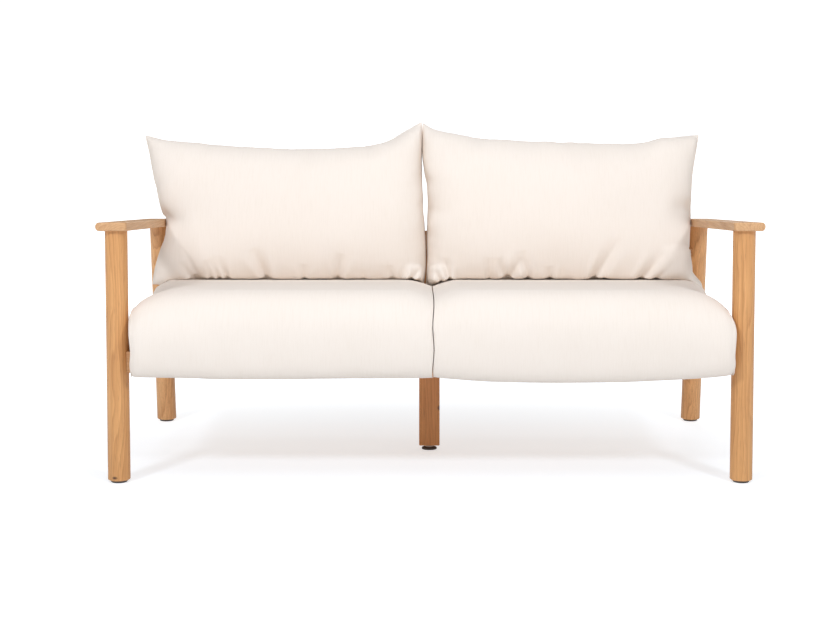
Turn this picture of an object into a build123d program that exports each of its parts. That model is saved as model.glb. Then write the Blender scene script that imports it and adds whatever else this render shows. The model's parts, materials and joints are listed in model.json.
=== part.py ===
"""A two-seat patio sofa: teak frame with round legs and plank armrests, loose seat and back cushions.

Millimetres, +Z up, front towards -Y. Left and right are as seen from the front, so +X is right.
The origin is on the floor, under the middle of the whole sofa. A setback is a distance behind the
axes of the front legs, and a rise is a distance square to the sloping seat deck.
"""

import os
from math import atan2, cos, radians, sin, tan

from build123d import *

os.makedirs("parts", exist_ok=True)

# Driving dimensions of the frame
leg_diameter = 52.0
leg_centres_across = 1452.0
rear_leg_setback = 708.0
rear_leg_rake_deg = 9.2
frame_slope_deg = 3.7
quarter_turn_deg = 90.0
deck_height = 310.0
deck_front_setback = 29.0
deck_rear_setback = 517.0

# Armrests
arm_front_height = 610.0
arm_width = 72.0
arm_thickness = 20.0
arm_overhang_outside = 16.0
arm_overhang_front = 36.0
arm_overhang_rear = 20.0
arm_edge_radius = 9.0
arm_inner_radius = 2.5
arm_corner_radius = 7.0
arm_end_bow = 3.0
arm_tenon_diameter = 24.0
arm_tenon_length = 12.0

# Seat frame
long_rail_thickness = 26.0
long_rail_height = 50.0
front_rail_drop = 2.0
rear_rail_drop = 44.0
side_rail_thickness = 26.0
side_rail_height = 56.0
side_rail_rise = 14.0
rail_edge_radius = 3.0
bearer_width = 40.0
bearer_height = 36.0
bearer_tenon_width = 20.0
bearer_tenon_height = 24.0
bearer_tenon_length = 8.0
cleat_size = 20.0
cleat_end_gap = 6.0
tenon_thickness = 12.0
tenon_height = 36.0
long_tenon_length = 10.0
side_tenon_length = 16.0

# Seat slats and back slats
slat_count = 8
slat_width = 52.0
slat_thickness = 16.0
slat_end_gap = 2.0
slat_edge_radius = 3.0
back_slat_count = 11
back_slat_width = 40.0
back_slat_thickness = 14.0
back_slat_housing = 8.0
back_slat_edge_radius = 2.0

# Back frame
back_rail_thickness = 28.0
back_rail_edge_radius = 4.0
back_top_below_arm = 74.0
back_top_behind_leg = 4.8
back_top_rail_height = 56.0
back_bottom_below_deck = 28.0
back_bottom_tuck = 6.4
back_bottom_rail_height = 32.0
back_bottom_tenon_height = 18.0

# Centre leg and feet
centre_leg_width = 52.0
centre_leg_setback = 350.0
centre_leg_edge_radius = 2.5
leg_bottom_chamfer = 1.5
foot_height = 13.0
foot_pad_height = 4.0
foot_pad_diameter = 38.0
foot_neck_diameter = 20.0
foot_stem_diameter = 8.0
foot_stem_length = 34.0
foot_socket_depth = 3.0
foot_edge_radius = 1.2
insert_diameter = 14.0
insert_length = 24.0
glide_height = 6.0
glide_diameter = 38.0
glide_edge_radius = 2.0
glide_pin_diameter = 5.0
glide_pin_length = 18.0

# Fasteners
bolt_diameter = 6.0
bolt_head_diameter = 13.0
bolt_head_height = 4.0
bolt_recess_depth = 6.0
bolt_socket_width = 5.0
bolt_socket_depth = 2.5
socket_sides = 6
bolt_end_past_nut = 8.0
nut_setback_in_rail = 38.0
nut_diameter = 10.0
nut_length = 16.0
screw_diameter = 4.0
screw_head_diameter = 8.0
screw_head_height = 2.4
screw_length = 28.0
cleat_screw_count = 4
centre_bolt_diameter = 8.0
centre_bolt_head_diameter = 16.0
centre_bolt_head_height = 5.0
centre_bolt_length = 50.0

# Clearances
wood_gap = 0.1
bore_gap = 0.1
soft_gap = 0.3
cushion_side_gap = 2.0
overrun = 5.0

# Seat cushions
seat_parting_x = 7.0
parting_gap = 0.6
seat_front_reach = 66.0
seat_rear_setback = 540.0
seat_thickness = 139.0
seat_lip_drop = 56.0
seat_lip_clear = 2.0
seat_inner_end_drop = 20.0
seat_outer_end_drop = 44.0
seat_end_draw = 14.0
seat_core_thickness = 80.0
seat_core_margin = 55.0
seat_core_radius = 20.0

# Back cushions
pillow_parting_x = -17.5
pillow_foot_sink = 18.4
pillow_front_crown = 95.0
pillow_rear_crown = 75.0
pillow_inner_height = 453.0
pillow_outer_height = 421.0
pillow_left_ear_x = 766.0
pillow_right_ear_x = 732.0
pillow_foot_x = 728.0
pillow_waist_band = 94.0
pillow_top_dip = 56.0
pillow_inner_draw = 9.0
pillow_crown_bow = 30.0
pillow_core_width = 440.0
pillow_core_height = 190.0
pillow_core_thickness = 70.0
pillow_core_rise = 190.0
pillow_core_radius = 25.0

# Seat cushion stations across its width: where, how far into the inner end, how far into the outer end
seat_station_shares = [
    (0.0, 1.0, 0.0),
    (0.025, 0.45, 0.0),
    (0.1, 0.1, 0.0),
    (0.32, 0.0, 0.0),
    (0.6, 0.0, 0.02),
    (0.82, 0.0, 0.16),
    (0.95, 0.0, 0.5),
    (1.0, 0.0, 1.0),
]

# Points of a seat cushion's side outline, as shares of its thickness, its lip's drop or its lip's width
seat_lip_root_share = 0.72
seat_lip_toe_share = 0.17
seat_belly_share = 0.25
seat_brow_reach_share = 0.11
seat_brow_share = 0.68
seat_roll_reach_share = 0.33
seat_roll_share = 0.92
seat_crest_share = 0.72
seat_rear_crest_share = 0.34
seat_rear_roll_share = 0.09
seat_heel_share = 0.55
seat_heel_roll_share = 0.2
seat_heel_reach_share = 0.13

# A back cushion's depth against how far its outline has gone from the seam to the crown
pillow_front_shares = [(0.0, 0.0), (0.3, 0.05), (0.62, 0.2), (0.87, 0.48), (1.0, 1.0)]
pillow_rear_shares = [(0.0, 0.0), (0.35, 0.05), (0.7, 0.22), (0.92, 0.5), (1.0, 0.85)]
pillow_flare_share = 0.3
pillow_ear_flare_share = 0.35
pillow_crown_side_share = 1.6
pillow_crown_foot_share = 0.75
pillow_crown_top_share = 1.1
pillow_crown_bow_shares = [
    (0.0, 0.0), (0.15, 0.5), (0.3, 0.8), (0.5, 1.0), (0.7, 0.8), (0.85, 0.5), (1.0, 0.0)
]

# Angles and places worked out from the dimensions
rake = radians(rear_leg_rake_deg)
slope = radians(frame_slope_deg)
leg_radius = leg_diameter / 2
leg_x = leg_centres_across / 2
leg_outer_x = leg_x + leg_radius
rear_reach = rear_leg_setback - glide_height * tan(rake) + leg_radius / cos(rake)
front_leg_y = (seat_front_reach - rear_reach) / 2
rear_foot_y = front_leg_y + rear_leg_setback
arm_centre_x = leg_outer_x + arm_overhang_outside - arm_width / 2
arm_inner_x = arm_centre_x - arm_width / 2
side_rail_inner_x = leg_x - side_rail_thickness / 2
nut_x = leg_x - leg_radius - nut_setback_in_rail
sides = {"left": -1, "right": 1}


def finish(part, name):
    """Label a finished piece and write it to its own file."""
    part.label = name
    export_step(part, f"parts/{name}.step")


def deck_z(setback, rise=0.0):
    """The height of a line that lies along the seat deck, or square above it."""
    return deck_height - setback * tan(slope) + rise / cos(slope)


def deck_plane(setback, rise=0.0):
    """A plane parallel to the deck: its X runs across the sofa and its Y rearwards."""
    return Plane(
        origin=(0, front_leg_y + setback, deck_z(setback, rise)),
        x_dir=(1, 0, 0),
        z_dir=(0, sin(slope), cos(slope)),
    )


def profile_plane(x):
    """A lengthwise plane at one X: its X runs rearwards along the deck and its Y is square to it."""
    return Plane(
        origin=(x, front_leg_y, deck_height),
        x_dir=(0, cos(slope), -sin(slope)),
        z_dir=(1, 0, 0),
    )


def rear_leg_y(height):
    """The Y of the raked rear legs' axes at a height."""
    return rear_foot_y - height * tan(rake)


# The backrest stands just behind the seat cushions and leans back until it meets the rear legs
back_top_height = arm_front_height - back_top_below_arm
back_bottom_height = deck_height - back_bottom_below_deck
back_bottom_y = front_leg_y + seat_rear_setback - back_bottom_tuck
back_top_y = rear_leg_y(back_top_height) + back_top_behind_leg
lean = atan2(back_top_y - back_bottom_y, back_top_height - back_bottom_height)


def back_face_y(height):
    """The Y of the backrest's front face at a height."""
    return back_bottom_y + (height - back_bottom_height) * tan(lean)


def back_plane(height, forward=0.0):
    """A plane parallel to the backrest, in front of it: its Y runs up the backrest."""
    return Plane(
        origin=(0, back_face_y(height) - forward / cos(lean), height),
        x_dir=(1, 0, 0),
        z_dir=(0, -cos(lean), sin(lean)),
    )


def leaning_rail_plane(top_height, rail_height):
    """The centre of a back rail whose front top edge is at this height on the backrest's face."""
    below = rail_height / 2
    behind = back_rail_thickness / 2
    y = back_face_y(top_height) - below * sin(lean) + behind * cos(lean)
    z = top_height - below * cos(lean) - behind * sin(lean)
    return Plane(origin=(0, y, z), x_dir=(1, 0, 0), z_dir=(0, sin(lean), cos(lean)))


front_rail_z = deck_height - front_rail_drop - long_rail_height / 2
rear_rail_z = deck_height - rear_rail_drop - long_rail_height / 2
front_rail_plane = Plane(origin=(0, front_leg_y, front_rail_z))
rear_rail_plane = Plane(origin=(0, rear_leg_y(rear_rail_z), rear_rail_z))
top_rail_plane = leaning_rail_plane(back_top_height, back_top_rail_height)
bottom_rail_plane = leaning_rail_plane(back_bottom_height, back_bottom_rail_height)
bolted_planes = [front_rail_plane, rear_rail_plane, top_rail_plane]

side_rail_rise_mid = side_rail_rise - side_rail_height / 2
side_rail_end_z = deck_z(rear_leg_setback, side_rail_rise_mid)
side_rail_length = (rear_leg_y(side_rail_end_z) - front_leg_y) / cos(slope)

arm_under_z = arm_front_height - arm_overhang_front * tan(slope) - arm_thickness / cos(slope)
arm_under_plane = Plane(
    origin=(0, front_leg_y, arm_under_z), x_dir=(1, 0, 0), z_dir=(0, sin(slope), cos(slope))
)
rear_joint_setback = (rear_leg_setback - arm_under_z * tan(rake)) / (1 - tan(slope) * tan(rake))
rear_joint_z = arm_under_z - rear_joint_setback * tan(slope)
arm_length = (arm_overhang_front + rear_joint_setback + leg_radius + arm_overhang_rear) / cos(slope)


def upright(x, y, low, high, radius):
    """A plumb round bar between two heights."""
    with BuildPart() as bar:
        with BuildSketch(Plane.XY.offset(low)):
            with Locations((x, y)):
                Circle(radius)
        extrude(amount=high - low)
    return bar.part


def bar(plane, centre, size, edge_radius=0.0):
    """A straight bar on a plane, with its long edges rounded."""
    with BuildPart(plane) as blank:
        with Locations(centre):
            Box(*size)
        if edge_radius:
            fillet(blank.edges().group_by(SortBy.LENGTH)[-1], edge_radius)
    return blank.part


def post(side, rear, gap=0.0):
    """One round leg as an endless cylinder, to make it and to scribe the rails that meet it."""
    foot_y = rear_foot_y if rear else front_leg_y
    axis = (0, -sin(rake), cos(rake)) if rear else (0, 0, 1)
    with BuildPart() as cylinder:
        with BuildSketch(Plane(origin=(side * leg_x, foot_y, 0), z_dir=axis).offset(-leg_diameter)):
            Circle(leg_radius + gap)
        extrude(amount=arm_front_height + leg_diameter)
    return cylinder.part


def arm_tenon(side, rear, gap=0.0):
    """The round tenon of a leg, standing up into the armrest."""
    setback = rear_joint_setback if rear else 0
    axis = (0, -sin(rake), cos(rake)) if rear else (0, 0, 1)
    foot = Plane(
        origin=(side * leg_x, front_leg_y + setback, arm_under_z - setback * tan(slope)), z_dir=axis
    )
    with BuildPart() as tenon:
        with BuildSketch(foot.offset(-overrun)):
            Circle(arm_tenon_diameter / 2 + gap)
        extrude(amount=overrun + arm_tenon_length + gap)
    return tenon.part


def side_tenons(side, gap=0.0):
    """A bar along a side rail whose two ends are its tenons."""
    start = leg_radius - side_tenon_length - gap
    end = side_rail_length - leg_radius + side_tenon_length + gap
    centre = (side * leg_x, (start + end) / 2, 0)
    size = (tenon_thickness + 2 * gap, end - start, tenon_height + 2 * gap)
    return bar(deck_plane(0, side_rail_rise_mid), centre, size)


def long_tenons(plane, half_length, height, gap=0.0):
    """A bar across the sofa whose two ends are a long rail's stub tenons."""
    size = (2 * (half_length + gap), tenon_thickness + 2 * gap, height + 2 * gap)
    return bar(plane, (0, 0, 0), size)


def bearer_tenons(gap=0.0):
    """A bar along the centre bearer whose two ends are its stub tenons."""
    front = long_rail_thickness / 2 - bearer_tenon_length - gap
    rear = rear_rail_plane.origin.Y - front_leg_y - long_rail_thickness / 2
    length = (rear + bearer_tenon_length + gap - front) / cos(slope)
    size = (bearer_tenon_width + 2 * gap, length, bearer_tenon_height + 2 * gap)
    return bar(deck_plane(front, -slat_thickness - bearer_height / 2), (0, length / 2, 0), size)


def rail_bore(plane, side):
    """What a rail bolt needs: its recess in the leg, its bore, and its barrel nut's blind hole."""
    inwards = Plane(origin=plane.origin + Vector(side * leg_outer_x, 0, 0), z_dir=(-side, 0, 0))
    across = Plane(
        origin=plane.origin + Vector(side * nut_x, 0, 0), x_dir=(1, 0, 0), z_dir=plane.y_dir
    )
    with BuildPart() as bore:
        with BuildSketch(inwards.offset(-overrun)):
            Circle(bolt_head_diameter / 2 + bore_gap)
        extrude(amount=overrun + bolt_recess_depth)
        with BuildSketch(inwards):
            Circle(bolt_diameter / 2 + bore_gap)
        extrude(amount=leg_outer_x - nut_x + bolt_end_past_nut + bore_gap)
        with BuildSketch(across.offset(-nut_length / 2 - wood_gap)):
            Circle(nut_diameter / 2 + wood_gap)
        extrude(amount=nut_length + long_rail_thickness)
    return bore.part


def screw_body(length, gap=0.0):
    """A countersunk screw, head up with its top at the origin, or the hole that it needs."""
    with BuildPart() as screw:
        with BuildSketch(Plane.XZ):
            with BuildLine():
                Polyline(
                    (0, 0),
                    (screw_head_diameter / 2 + gap, 0),
                    (screw_diameter / 2 + gap, -screw_head_height),
                    (screw_diameter / 2 + gap, -length - gap),
                    (0, -length - gap),
                    close=True,
                )
            make_face()
        revolve(axis=Axis.Z)
    return screw.part


def glide_hole(x, y):
    """The hole of a glide's pin in a leg's bottom."""
    radius = glide_pin_diameter / 2 + bore_gap
    return upright(x, y, glide_height - overrun, glide_height + glide_pin_length + bore_gap, radius)


def front_leg(side):
    """A plumb round leg with its mortises and its bolt bore."""
    long_half = leg_x - leg_radius + long_tenon_length
    with BuildPart() as leg:
        add(post(side, rear=False))
        split(bisect_by=arm_under_plane, keep=Keep.BOTTOM)
        split(bisect_by=Plane.XY.offset(glide_height), keep=Keep.TOP)
        chamfer(leg.faces().sort_by(Axis.Z)[0].edges(), leg_bottom_chamfer)
        add(glide_hole(side * leg_x, front_leg_y), mode=Mode.SUBTRACT)
        add(arm_tenon(side, rear=False))
        add(side_tenons(side, wood_gap), mode=Mode.SUBTRACT)
        add(long_tenons(front_rail_plane, long_half, tenon_height, wood_gap), mode=Mode.SUBTRACT)
        add(rail_bore(front_rail_plane, side), mode=Mode.SUBTRACT)
    return leg.part


def rear_leg(side):
    """A raked round leg, cut level at the floor and to the armrest's slope at the top."""
    long_half = leg_x - leg_radius + long_tenon_length
    with BuildPart() as leg:
        add(post(side, rear=True))
        split(bisect_by=arm_under_plane, keep=Keep.BOTTOM)
        split(bisect_by=Plane.XY.offset(glide_height), keep=Keep.TOP)
        chamfer(leg.faces().sort_by(Axis.Z)[0].edges(), leg_bottom_chamfer)
        add(glide_hole(side * leg_x, rear_leg_y(glide_height)), mode=Mode.SUBTRACT)
        add(arm_tenon(side, rear=True))
        add(side_tenons(side, wood_gap), mode=Mode.SUBTRACT)
        for plane in (rear_rail_plane, top_rail_plane):
            add(long_tenons(plane, long_half, tenon_height, wood_gap), mode=Mode.SUBTRACT)
            add(rail_bore(plane, side), mode=Mode.SUBTRACT)
    return leg.part


def armrest(side):
    """A plank with a bowed front end, small corners and a round outer edge."""
    top = Plane(
        origin=(side * arm_centre_x, front_leg_y - arm_overhang_front, arm_front_height),
        x_dir=(1, 0, 0),
        z_dir=arm_under_plane.z_dir,
    )
    half = arm_width / 2
    with BuildPart() as arm:
        with BuildSketch(top) as plan:
            with BuildLine():
                front = ThreePointArc((-half, arm_end_bow), (0, 0), (half, arm_end_bow))
                right = Line(front @ 1, (half, arm_length))
                rear = Line(right @ 1, (-half, arm_length))
                Line(rear @ 1, front @ 0)
            make_face()
            inner_corners = plan.vertices().group_by(Axis.X)[0 if side > 0 else -1]
            fillet(inner_corners, arm_corner_radius)
        extrude(amount=-arm_thickness)
        outwards = arm.edges().filter_by(lambda e: e.length > arm_length / 2).group_by(Axis.X)
        fillet(outwards[-1 if side > 0 else 0], arm_edge_radius)
        inwards = arm.edges().filter_by(lambda e: e.length > arm_length / 2).group_by(Axis.X)
        fillet(inwards[0 if side > 0 else -1], arm_inner_radius)
        for rear_joint in (False, True):
            add(arm_tenon(side, rear_joint, wood_gap), mode=Mode.SUBTRACT)
    return arm.part


for name, side in sides.items():
    finish(front_leg(side), f"front_leg_{name}")
    finish(rear_leg(side), f"rear_leg_{name}")
    finish(armrest(side), f"armrest_{name}")


def long_rail(plane, thickness, height, edge_radius, rear):
    """A rail between two round legs, scribed to them, with its stub tenons and bolt bores."""
    long_half = leg_x - leg_radius + long_tenon_length
    with BuildPart() as rail:
        add(bar(plane, (0, 0, 0), (2 * leg_x, thickness, height), edge_radius))
        for side in sides.values():
            add(post(side, rear, wood_gap), mode=Mode.SUBTRACT)
        add(long_tenons(plane, long_half, tenon_height))
        for side in sides.values():
            add(rail_bore(plane, side), mode=Mode.SUBTRACT)
    return rail.part


slat_run = (deck_rear_setback - deck_front_setback) / cos(slope)
slat_pitch = (slat_run - slat_width) / (slat_count - 1)
slat_half_length = side_rail_inner_x - slat_end_gap
slat_screw_xs = [-side_rail_inner_x + cleat_size / 2, 0, side_rail_inner_x - cleat_size / 2]
slat_offsets = [slat_width / 2 + slat_pitch * i for i in range(slat_count)]
deck_start_plane = deck_plane(deck_front_setback)
slat_screw_places = [
    deck_start_plane.location * Location((x, along, 0)) for along in slat_offsets for x in slat_screw_xs
]
cleat_start = deck_front_setback + cleat_end_gap
cleat_length = slat_run - 2 * cleat_end_gap
cleat_screw_pitch = cleat_length / cleat_screw_count


def cleat_screw_places(side):
    """Where the screws of one cleat lie, with their heads on its inner face."""
    start = deck_plane(cleat_start, -slat_thickness - cleat_size / 2).location
    x = side * (side_rail_inner_x - cleat_size)
    return [
        start * Location((x, cleat_screw_pitch * (i + 1 / 2), 0), (0, -side * quarter_turn_deg, 0))
        for i in range(cleat_screw_count)
    ]


def cut_screws(places, length):
    """Cut the holes of the screws at these places out of the piece being made."""
    hole = screw_body(length, bore_gap)
    for place in places:
        add(hole.moved(place), mode=Mode.SUBTRACT)


def side_rail(side):
    """A rail along the deck's slope between a front and a rear leg, scribed to both."""
    centre = (side * leg_x, side_rail_length / 2, 0)
    size = (side_rail_thickness, side_rail_length, side_rail_height)
    with BuildPart() as rail:
        add(bar(deck_plane(0, side_rail_rise_mid), centre, size, rail_edge_radius))
        add(post(side, False, wood_gap), mode=Mode.SUBTRACT)
        add(post(side, True, wood_gap), mode=Mode.SUBTRACT)
        add(side_tenons(side))
        add(bottom_rail_tenons(wood_gap), mode=Mode.SUBTRACT)
        cut_screws(cleat_screw_places(side), screw_length)
    return rail.part


def bottom_rail_tenons(gap=0.0):
    """The stub tenons of the back's bottom rail, which go into the side rails."""
    half_length = side_rail_inner_x + long_tenon_length
    return long_tenons(bottom_rail_plane, half_length, back_bottom_tenon_height, gap)


def cleat(side):
    """A strip on the inside of a side rail, under the slats' ends."""
    centre = (side * (side_rail_inner_x - cleat_size / 2), cleat_length / 2, -cleat_size / 2)
    size = (cleat_size, cleat_length, cleat_size)
    with BuildPart() as strip:
        add(bar(deck_plane(cleat_start, -slat_thickness), centre, size))
        cut_screws(slat_screw_places, screw_length)
        cut_screws(cleat_screw_places(side), screw_length)
    return strip.part


for name, side in sides.items():
    finish(side_rail(side), f"side_rail_{name}")
    finish(cleat(side), f"slat_cleat_{name}")

front_rail = long_rail(front_rail_plane, long_rail_thickness, long_rail_height, rail_edge_radius, False)
rear_rail = long_rail(rear_rail_plane, long_rail_thickness, long_rail_height, rail_edge_radius, True)
for name, rail in {"front_rail": front_rail, "rear_rail": rear_rail}.items():
    with BuildPart() as jointed_rail:
        add(rail)
        add(bearer_tenons(wood_gap), mode=Mode.SUBTRACT)
    finish(jointed_rail.part, name)

# Centre bearer, its leg and their fixings
bearer_under_rise = -slat_thickness - bearer_height
centre_leg_y = front_leg_y + centre_leg_setback
bearer_top_z = deck_z(centre_leg_setback, -slat_thickness)
bolt_seat_z = bearer_top_z - centre_bolt_head_height - bearer_width / 2 * tan(slope)
leg_top_z = deck_z(centre_leg_setback, bearer_under_rise)

centre_bore = upright(
    0, centre_leg_y, bolt_seat_z - centre_bolt_length - bore_gap, bearer_top_z + overrun,
    centre_bolt_diameter / 2 + bore_gap,
)
centre_bolt_recess = upright(
    0, centre_leg_y, bolt_seat_z, bearer_top_z + overrun, centre_bolt_head_diameter / 2 + bore_gap
)
insert_top_z = leg_top_z - insert_diameter * tan(slope)
insert_bore = upright(
    0, centre_leg_y, insert_top_z - insert_length - wood_gap, leg_top_z + overrun,
    insert_diameter / 2 + wood_gap,
)
stem_top_z = foot_height + foot_stem_length
foot_bore = upright(
    0, centre_leg_y, foot_height - overrun, foot_height + insert_length + wood_gap,
    insert_diameter / 2 + wood_gap,
)
stem_bore = upright(
    0, centre_leg_y, foot_height - overrun, stem_top_z + bore_gap, foot_stem_diameter / 2 + bore_gap
)


def rail_space(plane, thickness, height):
    """The room that a rail needs where the bearer meets or crosses it."""
    return bar(plane, (0, 0, 0), (2 * bearer_width, thickness + 2 * wood_gap, height + 2 * wood_gap))


bearer_length = (rear_rail_plane.origin.Y - front_leg_y) / cos(slope)
bearer_mid_plane = deck_plane(0, -slat_thickness - bearer_height / 2)
with BuildPart() as centre_bearer:
    add(bar(bearer_mid_plane, (0, bearer_length / 2, 0), (bearer_width, bearer_length, bearer_height)))
    for plane in (front_rail_plane, rear_rail_plane):
        add(rail_space(plane, long_rail_thickness, long_rail_height), mode=Mode.SUBTRACT)
    add(bearer_tenons())
    notch = rail_space(bottom_rail_plane, back_rail_thickness, back_bottom_rail_height)
    add(notch, mode=Mode.SUBTRACT)
    cut_screws(slat_screw_places, screw_length)
    add(centre_bolt_recess, mode=Mode.SUBTRACT)
    add(centre_bore, mode=Mode.SUBTRACT)
finish(centre_bearer.part.solids().sort_by(SortBy.VOLUME)[-1], "centre_bearer")

with BuildPart() as centre_leg:
    with BuildSketch(Plane.XY.offset(foot_height)):
        with Locations((0, centre_leg_y)):
            Rectangle(centre_leg_width, centre_leg_width)
    extrude(amount=deck_height - foot_height)
    fillet(centre_leg.edges().filter_by(Axis.Z), centre_leg_edge_radius)
    split(bisect_by=deck_plane(0, bearer_under_rise), keep=Keep.BOTTOM)
    chamfer(centre_leg.faces().sort_by(Axis.Z)[0].edges(), leg_bottom_chamfer)
    for hole in (centre_bore, insert_bore, foot_bore, stem_bore):
        add(hole, mode=Mode.SUBTRACT)
finish(centre_leg.part, "centre_leg")

with BuildPart() as centre_leg_bolt:
    add(upright(0, centre_leg_y, bolt_seat_z - centre_bolt_length, bolt_seat_z, centre_bolt_diameter / 2))
    add(upright(
        0, centre_leg_y, bolt_seat_z, bolt_seat_z + centre_bolt_head_height,
        centre_bolt_head_diameter / 2,
    ))
    head_top = Plane.XY.offset(bolt_seat_z + centre_bolt_head_height)
    with BuildSketch(head_top):
        with Locations((0, centre_leg_y)):
            RegularPolygon(bolt_socket_width / 2, socket_sides)
    extrude(amount=-bolt_socket_depth, mode=Mode.SUBTRACT)
finish(centre_leg_bolt.part, "centre_leg_bolt")

with BuildPart() as centre_leg_insert:
    add(upright(0, centre_leg_y, insert_top_z - insert_length, insert_top_z, insert_diameter / 2))
    add(centre_bore, mode=Mode.SUBTRACT)
finish(centre_leg_insert.part, "centre_leg_insert")

with BuildPart() as levelling_insert:
    add(upright(0, centre_leg_y, foot_height, foot_height + insert_length, insert_diameter / 2))
    add(stem_bore, mode=Mode.SUBTRACT)
finish(levelling_insert.part, "levelling_insert")

foot_top_z = foot_height - soft_gap
with BuildPart() as levelling_foot:
    with BuildSketch(Plane(origin=(0, centre_leg_y, 0), x_dir=(1, 0, 0), z_dir=(0, -1, 0))):
        with BuildLine():
            Polyline(
                (0, 0),
                (foot_pad_diameter / 2, 0),
                (foot_pad_diameter / 2, foot_pad_height),
                (foot_neck_diameter / 2, foot_pad_height + foot_socket_depth),
                (foot_neck_diameter / 2, foot_top_z),
                (foot_stem_diameter / 2, foot_top_z),
                (foot_stem_diameter / 2, stem_top_z),
                (0, stem_top_z),
                close=True,
            )
        make_face()
    revolve(axis=Axis((0, centre_leg_y, 0), (0, 0, 1)))
    pad_rim = levelling_foot.edges().filter_by(GeomType.CIRCLE).group_by(SortBy.RADIUS)[-1]
    fillet(pad_rim.sort_by(Axis.Z)[-1], foot_edge_radius)
finish(levelling_foot.part, "levelling_foot")

for row, y in {"front": front_leg_y, "rear": rear_leg_y(glide_height)}.items():
    for name, side in sides.items():
        with BuildPart() as glide:
            add(upright(side * leg_x, y, 0, glide_height, glide_diameter / 2))
            fillet(glide.faces().sort_by(Axis.Z)[0].edges(), glide_edge_radius)
            add(upright(
                side * leg_x, y, glide_height / 2, glide_height + glide_pin_length, glide_pin_diameter / 2
            ))
        finish(glide.part, f"glide_{row}_{name}")

# Seat slats and their screws
for number, along in enumerate(slat_offsets, start=1):
    size = (2 * slat_half_length, slat_width, slat_thickness)
    with BuildPart() as seat_slat:
        add(bar(deck_start_plane, (0, along, -slat_thickness / 2), size, slat_edge_radius))
        cut_screws(slat_screw_places, screw_length)
    finish(seat_slat.part, f"seat_slat_{number}")

with BuildPart() as slat_screws:
    for place in slat_screw_places:
        add(screw_body(screw_length).moved(place))
finish(slat_screws.part, "slat_screws")

with BuildPart() as cleat_screws:
    for side in sides.values():
        for place in cleat_screw_places(side):
            add(screw_body(screw_length).moved(place))
finish(cleat_screws.part, "cleat_screws")

# Back frame: two leaning rails with slats housed between them
back_slat_pitch = (2 * (leg_x - leg_radius) + back_slat_width) / (back_slat_count + 1)
rail_distance = (top_rail_plane.origin - bottom_rail_plane.origin).length
back_slat_low = back_bottom_rail_height / 2 - back_slat_housing
back_slat_high = rail_distance - back_top_rail_height / 2 + back_slat_housing
back_slat_xs = [back_slat_pitch * (i - (back_slat_count - 1) / 2) for i in range(back_slat_count)]


def back_slat(x, gap=0.0, edge_radius=0.0):
    """One upright slat of the back, from housing to housing, or the space that it needs."""
    centre = (x, 0, (back_slat_low + back_slat_high) / 2)
    height = back_slat_high - back_slat_low + 2 * gap
    size = (back_slat_width + 2 * gap, back_slat_thickness + 2 * gap, height)
    return bar(bottom_rail_plane, centre, size, edge_radius)


def back_rail_with_housings(rail, name):
    """Cut the slats' housings into a back rail, and finish it."""
    with BuildPart() as housed_rail:
        add(rail)
        for x in back_slat_xs:
            add(back_slat(x, wood_gap), mode=Mode.SUBTRACT)
    finish(housed_rail.part, name)


top_rail = long_rail(
    top_rail_plane, back_rail_thickness, back_top_rail_height, back_rail_edge_radius, True
)
back_rail_with_housings(top_rail, "back_top_rail")

bottom_rail_size = (2 * (side_rail_inner_x - wood_gap), back_rail_thickness, back_bottom_rail_height)
with BuildPart() as bottom_rail:
    add(bar(bottom_rail_plane, (0, 0, 0), bottom_rail_size, back_rail_edge_radius))
    add(bottom_rail_tenons())
back_rail_with_housings(bottom_rail.part, "back_bottom_rail")

for number, x in enumerate(back_slat_xs, start=1):
    finish(back_slat(x, 0, back_slat_edge_radius), f"back_slat_{number:02d}")

# Rail bolts and their barrel nuts
with BuildPart() as rail_bolts:
    for plane in bolted_planes:
        for side in sides.values():
            seat = Plane(
                origin=plane.origin + Vector(side * (leg_outer_x - bolt_recess_depth), 0, 0),
                z_dir=(side, 0, 0),
            )
            with BuildSketch(seat):
                Circle(bolt_head_diameter / 2)
            extrude(amount=bolt_head_height)
            with BuildSketch(seat.offset(bolt_head_height)):
                RegularPolygon(bolt_socket_width / 2, socket_sides)
            extrude(amount=-bolt_socket_depth, mode=Mode.SUBTRACT)
            with BuildSketch(seat):
                Circle(bolt_diameter / 2)
            extrude(amount=-(leg_outer_x - bolt_recess_depth - nut_x + bolt_end_past_nut))
finish(rail_bolts.part, "rail_bolts")

with BuildPart() as rail_barrel_nuts:
    for plane in bolted_planes:
        for side in sides.values():
            across = Plane(
                origin=plane.origin + Vector(side * nut_x, 0, 0), x_dir=(1, 0, 0), z_dir=plane.y_dir
            )
            with BuildSketch(across.offset(-nut_length / 2)):
                Circle(nut_diameter / 2)
            extrude(amount=nut_length)
            thread = Plane(
                origin=plane.origin + Vector(side * (nut_x + nut_diameter), 0, 0), z_dir=(-side, 0, 0)
            )
            with BuildSketch(thread):
                Circle(bolt_diameter / 2 + bore_gap)
            extrude(amount=2 * nut_diameter, mode=Mode.SUBTRACT)
finish(rail_barrel_nuts.part, "rail_barrel_nuts")


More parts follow.
